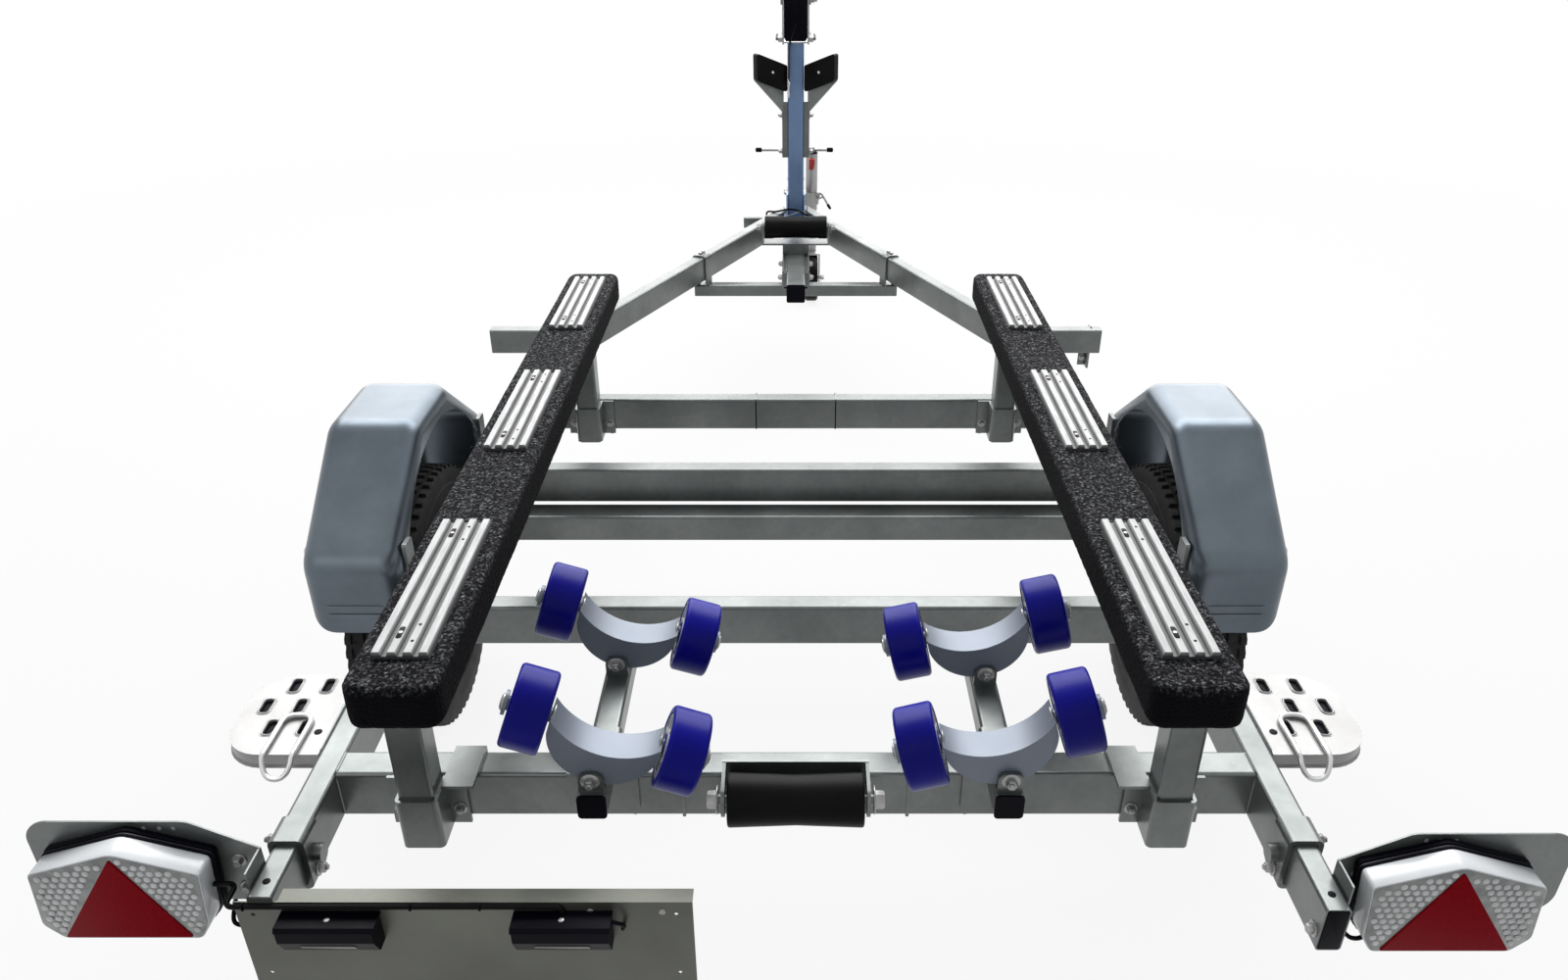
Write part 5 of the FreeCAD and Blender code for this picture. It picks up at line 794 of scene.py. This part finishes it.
def make_lamps():
    """Dark base and seal, pale lens with small domes, and the red triangle."""
    for word, side in SIDES:
        back = facing((LAMP_X[word], LAMP_FACE[word], LAMP_MIDDLE), BACK)
        border = mirrored(LAMP_CORNERS, side)
        triangle = mirrored(TRIANGLE_CORNERS, side)
        form = Form()
        for start, depth, inset, paint, bevel in LAMP_LAYERS:
            form.prism(shifted(back, 0, 0, start), shrunk(rounded(border, 0), inset), depth, paint, bevel)
        form.prism(shifted(back, 0, 0, WINDOW_TOP - 0.6), rounded(triangle, 4, 3), 2.4, 4, 0.7)
        for row in range(14):
            for column in range(-11, 12):
                spot = Vector(((column + (row % 2) * 0.5) * DOME_PITCH, -68 + row * DOME_PITCH * 0.87))
                if depth_inside(triangle, spot) <= -6.5 and depth_inside(border, spot) > 11:
                    dome = [(0, 4.4), (0.9, 4.3), (2, 3.2), (2.6, 1.6)]
                    form.lathe(shifted(back, spot.x, spot.y, WINDOW_TOP - 0.2), dome, 5, 10)
        piece = form.make(f"lamp_body_{word}", f"lamp_carrier_{word}", "lamp_lens", "black_plastic",
                "lens_edge", "lamp_lens", "strip_grey", "reflector_red", "led_dome")
        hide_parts(f"lamp_{word}")


def make_holder_fittings():
    """Bolts and slots of the lamp holders, and the short wires to the lamps."""
    for word, side in SIDES:
        face = LAMP_FACE[word]
        form = Form()
        for z in (452, 500):
            form.bolt((728 * side, face, z), BACK, 11)
        for x in (800, 818, 838):
            form.prism(facing((x * side, face, 556), BACK), oblong(5, 6, 2, 3), 0.8, 2, 0.2)
        wire = ((742, 12, 440), (738, 34, 424), (722, 34, 418), (708, 26, 430), (700, 22, 446))
        form.tube(smooth_path([(x * side, face - y, z) for x, y, z in wire]), 3, 1)
        form.lathe(facing((RAIL_X * side, face - 33, 496.3), UP), [(0, 5), (0.9, 5), (1, 4.6)], 1, 20)
        if side > 0:
            form.prism(facing((RAIL_X, face - 57.6, 460), BACK), oblong(28, 68, 3), 1.6, 1, 0.6)
        form.bolt(((RAIL_X - 16.4) * side, face - 43, 446), (-side, 0, 0), 12)
        form.make(f"holder_fittings_{word}", f"lamp_carrier_{word}", "zinc", "zinc", "black_plastic",
                "pale_plate")


def make_board_fittings():
    """Rivets, the plate lights' lenses, hoods and screws, and ties round the cable."""
    form = Form()
    for x in (-262, -170):
        form.lathe(facing((x, BOARD_FACE, 472), BACK), [(-0.3, 5), (1.2, 4.4), (2, 2)], 0, 16)
    out = at(0, -27.5, -13).normalized()
    hood = [(0, 4), (-28, 4), (-31, 0), (-31, -4), (-28, -0.6), (0, -0.6)]
    for x in (-592, -296):
        lens = facing(at(x, BOARD_FACE - 25.5, 436.8) - out * 0.6, out)
        form.prism(lens, oblong(70, 13, 4), 1.8, 1, 0.5)
        form.prism(facing((x - 63, BOARD_FACE, 470), RIGHT, AHEAD), hood, 126, 2)
        form.lathe(facing((x, BOARD_FACE - 15, 473.6), UP), [(0, 4), (1.4, 3.6), (1.8, 2)], 0, 12)
    for x in (-700, -488, -400):
        form.tube(oval((x, BOARD_FACE - 3.5, 484.5), (0, 4.6, 0), (0, 0, 4.6), 16), 1.1, 2, 6, looped=True)
    tail = ((-240, 12, 470), (-228, 14, 468), (-219, 8, 456), (-222, 3, 444))
    form.tube(smooth_path([(x, BOARD_FACE - y, z) for x, y, z in tail], 5), 2.6, 2)
    form.make("board_fittings", "lamp_carrier_left", "zinc", "zinc", "smoked_lens", "black_plastic")


# Step plates, tie loops and collars
def make_step_details():
    """Raised rims round the slots, and a bright rod looped through each plate."""
    form = Form()
    for side in SIGNS:
        for column, row in ((1, 1), (3, 1), (0, 0), (2, 0), (0, 2), (2, 2)):
            x = (742 + 26 * column) * side
            y = -690 + 50 * row
            form.prism(facing((x, y, 486), UP), oblong(24, 42, 10), 10.2, 1, 0.8)
            for *outline, z, radius, sides in ((17.4, 35.4, 8.4, 500.2, 1.6, 8),
                    (22, 40, 10, 499.4, 1.4, 6)):
                rim = [(x + point.x, y + point.y, z) for point in oblong(*outline, 5)]
                form.tube(rim, radius, 0, sides, looped=True)
        form.lathe(facing((718 * side, -700, 500), UP), [(0, 6), (0.7, 6), (0.9, 5)], 1, 20)
        loop = []
        for point in oblong(44, 108, 21, 8):
            y = point.y - 720
            fall = max(0, -756 - y)
            loop.append(((757 + point.x) * side, y - 0.2 * fall, 504.6 - 1.5 * fall))
        form.tube(loop, 4, 2, 10, looped=True)
        edge = [((788 + 64 * sin(turn)) * side, -686 - 64 * cos(turn), 477.5) for turn in QUARTER]
        form.tube([(702 * side, -750, 477.5)] + edge, 2.6)
    form.make("step_details", "chassis", "pale_plate", "pale_plate", "black_plastic", "bright_zinc")


def make_collar_bolts():
    """The clamp bolts of the collars on the rails' rear ends."""
    form = Form()
    for side in SIGNS:
        form.bolt(((RAIL_X - 24.3) * side, -900, 432), (-side, 0, 0), 13, 4)
        form.bolt(((RAIL_X + 24.3) * side, -900, 484), (side, 0, 0), 14, 5)
    form.make("collar_bolts", "chassis", "zinc")


# Bolts, welds and small steel parts of the frame
def bead(form, start, end, radius):
    """A weld bead: a thin rod that swells and shrinks."""
    start, end = Vector(start), Vector(end)
    count = max(3, int((end - start).length / 2.6))
    radii = []
    for step in range(count + 1):
        wave = 0.82 + 0.18 * cos(pi * step)
        radii.append(radius * wave * min(1, step / 2 + 0.5, (count - step) / 2 + 0.5))
    form.tube([start.lerp(end, step / count) for step in range(count + 1)], radii, 0, 6)


def make_welds():
    """Beads where the beams, arms, plates and lugs meet the rails."""
    form = Form()
    slope = tan(radians(12))
    seams = []
    for rear, front in ((-791, -741), (-372, -332), (150, 190), (522, 562)):
        seams += [((RAIL_IN, y, 426), (RAIL_IN, y, 494), 2.4) for y in (rear, front)]
        seams += [((RAIL_IN, rear + 4, z), (RAIL_IN, front - 4, z), 2.2) for z in (RAIL_TOP, 420)]
    seams += [((698, 901 - 2 * slope, RAIL_TOP), (662, 901 - 38 * slope, RAIL_TOP), 2.2),
            ((RAIL_OUT, 901, 426), (RAIL_OUT, 901, 494), 2),
            ((45.5, 2368, 427), (45.5, 2368, 494), 2),
            ((40, 1650, 465), (31, 1650, 465), 2.4),
            ((40, 2400, 465), (31, 2400, 465), 2.4),
            ((30, 1655, 465), (30, 2250, 465), 2.2),
            ((RAIL_OUT, -747, 479), (RAIL_OUT, -747, 498), 2),
            ((RAIL_OUT, -563, 479), (RAIL_OUT, -563, 498), 2),
            ((RAIL_OUT, -742, RAIL_TOP), (RAIL_OUT, -568, RAIL_TOP), 1.8),
            ((RAIL_IN, 43, 421), (RAIL_IN, 43, 458), 1.6),
            ((RAIL_IN, 153, 421), (RAIL_IN, 153, 458), 1.6)]
    for side in SIGNS:
        for (x, *start), (end_x, *end), radius in seams:
            bead(form, (x * side, *start), (end_x * side, *end), radius)
        for y in (2290, 2350):
            bead(form, (-28, y, 471), (28, y, 471), 2.4)
    form.make("welds", "chassis", "galvanised")


def make_frame_bolts():
    """Bolts of the posts, arms, plates, guards, axle, cross tube and drawbar."""
    form = Form()
    for face, post in ((-791, 530), (522, 503)):
        for side in SIGNS:
            for reach in (-43, 43):
                form.bolt((post * side + reach, face - 5, 440), BACK, 11, 2)
                form.bolt((post * side + reach, face + 20, 415), DOWN, 14, 5)
            form.bolt(((post + 24) * side, face - 30, 446), (side, 0, 0), 14)
    for x in (-315, -239, 252, 328):
        form.bolt((x, -766, 415), DOWN, 13, 5)
    for side in SIGNS:
        out = (side, 0, 0)
        inward = (-side, 0, 0)
        for y in (-268, 268):
            for z in (448, 482):
                form.bolt((RAIL_IN * side, y, z), inward, 14, 5)
            for z in (530, 552):
                form.lathe(facing((886 * side, y, z), out), [(-0.4, 11), (1, 10.6), (4, 7.4), (5.2, 3)])
                form.bolt((710 * side, y, z), out, 12)
        for y in (70, 160):
            form.bolt((654 * side, y, 440), inward, 18, 4)
        form.bolt((736 * side, 115, 390), out, 30)
        turn = radians(24)
        along = at(-sin(turn) * side, cos(turn), 0)
        across = at(-cos(turn) * side, -sin(turn), 0)
        end = at(RAIL_OUT * side, 901, 505) + along * ((1720 - 901) / cos(turn)) + across * 20
        for reach in (-10, 10):
            form.bolt(end + along * reach, UP, 12)
        for y in (2268, 2372):
            form.bolt((36 * side, y, 471), UP, 14, 3)
        for z in (720, 850):
            form.bolt((50 * side, 2308, z), out, 17, 4)
        for y in (1690, 1840, 2100, 2200):
            form.bolt((45.5 * side, y, 432), out, 17, 3)
    form.make("frame_bolts", "chassis", "zinc")


def make_frame_details():
    """Sleeve seams, small plates and brackets, and the guards' creases."""
    form = Form()
    for x in (-98, 98):
        form.block((x - 1.5, 521.2, 420.4), (x + 1.5, 562.8, 501.2), 2, 0.5)
        form.block((x - 2.2, 521, 496), (x + 2.2, 563, 501.6), 0, 0.5)
    for x in (-163, 163):
        form.block((x - 2.5, -792.6, 419.5), (x + 2.5, -740.4, 501))
    for x in (-45, 45):
        form.prism(facing((x, -792.2, 470), BACK), oblong(9, 50, 2), 1.8, 0, 0.4)
    form.block((836, 1014, 380), (842, 1052, 500), 0, 1)
    form.block((816, 1040, 380), (842, 1044, 432), 0, 1)
    form.bolt((829, 1040, 404), BACK, 12, paint=1)
    form.block((-195, 2186, 462), (-121, 2190, 500), 0, 1)
    form.block((-195, 2190, 496), (-125, 2216, 500), 0, 1)
    form.make("frame_brackets", "chassis", "galvanised", "galvanised", "zinc", "black_rubber")
    for word, side in SIDES:
        crease = Form()
        for z in (452, 470):
            for end in SIGNS:
                crease.tube([(797 * side + reach, (325 + rise) * end, z)
                        for reach, rise in ((-50, -0.6), (-44, 0.3), (44, 0.3), (50, -0.6))], 2.2)
        crease.make(f"guard_creases_{word}", "chassis", "galvanised", "guard")


# Winch, strap and bow stop
POST_Y = 2320
DRUM_Z = 1244
HOOK_X = -26


def make_winch_details():
    """Bolts and flanges of the winch, its gears, the crank's grip and the covers."""
    form = Form()
    for side in SIGNS:
        for reach in (-44, 44, 0):
            form.bolt((46 * side, POST_Y + reach, 1118), (side, 0, 0), 24, 9)
        flange = facing((25.6 * side, POST_Y, DRUM_Z), (side, 0, 0))
        form.lathe(flange, [(0, 50), (2, 50), (2.4, 49)], 0, 40)
    form.prism(facing((31, POST_Y, DRUM_Z), RIGHT), toothed(34, 52, 48.5), 5)
    form.lathe(facing((-46, POST_Y + 34, 1180), RIGHT), [(0, 7), (92, 7)], 0, 16)
    form.prism(facing((30, POST_Y + 34, 1180), RIGHT), toothed(12, 17, 13), 8)
    form.bolt((62, POST_Y, DRUM_Z), RIGHT, 20)
    grip = facing((62, POST_Y, 1420), RIGHT)
    form.lathe(grip, [(-1, 13.8), (2, 14), (95, 14)], 1)
    for reach in range(8, 79, 14):
        form.lathe(shifted(grip, 0, 0, reach), [(0, 13.6), (1.5, 14), (5.5, 14), (7, 13.6)], 1)
    form.make("winch_details", "chassis", "zinc", "zinc", "black_plastic")
    covers = Form()
    cheek = [(-60, 1106), (60, 1106), (60, 1178), (42, 1292), (-42, 1292), (-60, 1178)]
    for x in (-47.4, 45.9):
        covers.prism(facing((x, POST_Y, 0), RIGHT, AHEAD), rounded(cheek, 8), 1.5, 0, 0.4)
    panel = [(-41.8, 1122), (-34, 1110), (34, 1110), (41.8, 1122), (41.8, 1286), (34, 1297), (-34, 1297),
            (-41.8, 1286)]
    place = facing((0, 2262, 0), BACK)
    covers.prism(place, panel, 3, 0, 0.8)
    for x in (-22, 10):
        covers.prism(shifted(place, x, 1204, 3), oblong(4, 150, 1.8, 3), 2.4, 0, 0.8)
    covers.make("winch_covers", "chassis", "black_plastic")


def strap_section(centre, wide, thick):
    return [centre + thick - wide, centre + thick + wide, centre - thick + wide, centre - thick - wide]


def make_strap():
    """The webbing: a wound roll and a twisted tail, with its hook."""
    half_width = 24.6
    half_thickness = 1.2
    first_radius, last_radius = 21.4, 44.4
    wraps = 9
    steps = wraps * 36
    rings = []
    for step in range(steps + 1):
        turn = tau * wraps * step / steps
        out = at(0, -cos(turn), -sin(turn))
        centre = at(0, POST_Y, DRUM_Z) + out * (first_radius + (last_radius - first_radius) * step / steps)
        rings.append(strap_section(centre, at(half_width, 0, 0), out * half_thickness))
    path = smooth_path([(0, POST_Y - last_radius, DRUM_Z), (0, 2275.6, 1236), (-4, 2275.6, 1196),
            (-16, 2276, 1130), (-24, 2275, 1080), (HOOK_X, 2272, 1020), (HOOK_X, 2266, 974)], 8)
    for index, centre in enumerate(path[1:]):
        share = index / (len(path) - 2)
        twist = radians(82) * min(1, max(0, (share - 0.12) / 0.38)) ** 1.2
        wide = at(cos(twist), -sin(twist), 0) * (half_width - 7 * min(1, share * 1.6))
        rings.append(strap_section(centre, wide, at(-sin(twist), -cos(twist), 0) * half_thickness))
    piece = Form().skin(rings).make("strap_webbing", "chassis", "webbing", sharp=50)
    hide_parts("winch_strap")
    hook = Form()
    hook.tube(oval((HOOK_X, 2266, 972), (0, 19, 0), (0, 0, 7), 20), 2.6, looped=True)
    bend = smooth_path([(HOOK_X, y, z) for y, z in ((2266, 966), (2264, 950), (2258, 934), (2266, 920),
            (2278, 924), (2281, 938))])
    hook.tube(bend, [4.2] * (len(bend) - 3) + [3.4, 2.6, 1.6], 0, 10)
    hook.lathe(facing((HOOK_X, 2266, 958), UP), [(0, 5), (3, 6.4), (10, 6.4), (13, 4)], 0, 16)
    hook.tube(oval((HOOK_X, 2284, 938), (2, 9.9, 0), (0, 0, 13), 20), 2.8, looped=True)
    hook.make("strap_hook", "chassis", "zinc", "bright_zinc")


def make_bow_details():
    """A bolt through the middle of each bow pad, with its nut behind the plate."""
    form = Form()
    turn = radians(32)
    reach = 30 + 63 * cos(turn) + 26 * sin(turn)
    for side in SIGNS:
        out = at(-sin(turn) * side, -cos(turn), 0)
        centre = at(reach * side, POST_Y - 30 - 63 * sin(turn), 1010)
        form.bolt(centre + out * 25.6, out, 9, washer=False)
        form.bolt(centre - out * 8, -out, 17, 6)
    form.make("bow_bolts", "chassis", "zinc", "bright_zinc")


# Coupling, cables and jockey wheel
JOCKEY_X = 66
JOCKEY_Y = 2750


def make_coupling_details():
    """The coupling's bolts, and the jockey clamp's red lock and lever."""
    form = Form()
    for side in SIGNS:
        for y in (2826, 2872):
            form.bolt((34 * side, y, 436), (side, 0, 0), 19, 4)
    lock = rounded([(-12, -22), (7, -22), (12, -2), (12, 22), (-11, 22), (-11, 4)], 4)
    form.prism(facing((JOCKEY_X, JOCKEY_Y - 24, 579), BACK), lock, 12, 2, 2.5)
    lever = ((96, 2734, 436), (97, 2716, 452), (104, 2712, 462), (116, 2710, 446), (141, 2708, 404))
    form.tube(smooth_path(lever), 4.2, 0, 10)
    form.lathe(facing((133, 2708.6, 417), (26, 0, -42)), [(0, 5.4), (12, 6), (22, 5), (24, 2)], 1, 14)
    form.bolt((96, JOCKEY_Y, 436), RIGHT, 15, 8)
    form.bolt((0, 2950, 470), UP, 12)
    for side in SIGNS:
        rivet = [(-0.4, 9), (1, 8.6), (3, 6), (4, 2)]
        form.lathe(facing((33.4 * side, 3012, 452), (side, 0, 0)), rivet, 0, 20)
    form.make("coupling_details", "chassis", "zinc", "zinc", "black_plastic", "lock_red")


def make_breakaway_cable():
    """A cable and a wire round the post's foot, led along the drawbar under ties."""
    cable = Form()
    line = ((-112, 2276, 488), (-108, 2272, 500), (-98, 2266, 503.6), (-82, 2262, 503.6), (-60, 2256, 508),
            (-30, 2250, 516), (0, 2248, 514), (26, 2252, 502), (44, 2266, 486), (46, 2300, 472),
            (43, 2340, 468.6), (38, 2390, 468.6), (22, 2450, 468.6), (18, 2560, 468.6), (20, 2680, 468.6),
            (22, 2700, 465), (22, 2706, 454))
    wire = ((-34, 2292, 476), (-42, 2262, 484), (-8, 2246, 500), (20, 2250, 508), (36, 2272, 490),
            (34, 2330, 480))
    cable.tube(smooth_path(line, 8), 3.6)
    cable.tube(smooth_path(wire, 8), 1.6, 1, 6)
    tie = [(-31, 404), (31, 404), (31, 466), (26, 469), (24, 473), (17, 473), (13, 467), (-31, 466)]
    for y in (2470, 2640):
        cable.tube([(point.x, y, point.y) for point in rounded(tie, 4, 3)], 1.2, 0, 6, looped=True)
    cable.make("breakaway_cable", "chassis", "black_rubber", "black_rubber", "zinc")


def make_jockey_details():
    """The jockey wheel's knobs, cap, axle nuts and ribs."""
    knobs = Form()
    for side in SIGNS:
        place = facing((-6 + 134 * side, JOCKEY_Y, 631), (side, 0, 0))
        knobs.lathe(place, [(0, 7), (1, 9), (20, 9.4), (24.6, 8), (26, 4)], 0, 20)
    knobs.lathe(facing((JOCKEY_X, JOCKEY_Y, 617.6), UP), [(0, 24.6), (4, 24.6), (6, 20), (7, 13)], 0, 32)
    knobs.make("jockey_knobs", "chassis", "black_plastic")
    middle = at(JOCKEY_X, 2714, 100)
    nuts = Form()
    for side in SIGNS:
        nuts.bolt(middle + at(side * 42, 0, 0), (side, 0, 0), 19)
    nuts.make("jockey_axle_nuts", "jockey_fork", "zinc")
    ribs = Form()
    for x in (-18, -6, 6, 18):
        ribs.tube(oval(middle + at(x, 0, 0), (0, 0, 99.2), (0, 99.2, 0), 60), 0.8, 0, 5, looped=True)
    hair = 0.002  # settles which way the facets of the slanted spokes lie
    for side in SIGNS:
        for turn in turns(8):
            start = middle + at(side * 11.4, 40 * sin(turn), 40 * cos(turn))
            ribs.tube([start, start + at(0, (20 + hair) * sin(turn), 20 * cos(turn))], 2.4, 0, 6)
    ribs.make("jockey_wheel_ribs", "jockey_wheel", "black_rubber")


make_carpets()
make_strip_screws()
make_tyres()
make_wheel_fittings()
make_roller_discs()
make_cradle_fittings()
make_pivot_bolts()
make_keel_fittings()
make_lamps()
make_holder_fittings()
make_board_fittings()
make_step_details()
make_collar_bolts()
make_welds()
make_frame_bolts()
make_frame_details()
make_winch_details()
make_strap()
make_bow_details()
make_coupling_details()
make_breakaway_cable()
make_jockey_details()
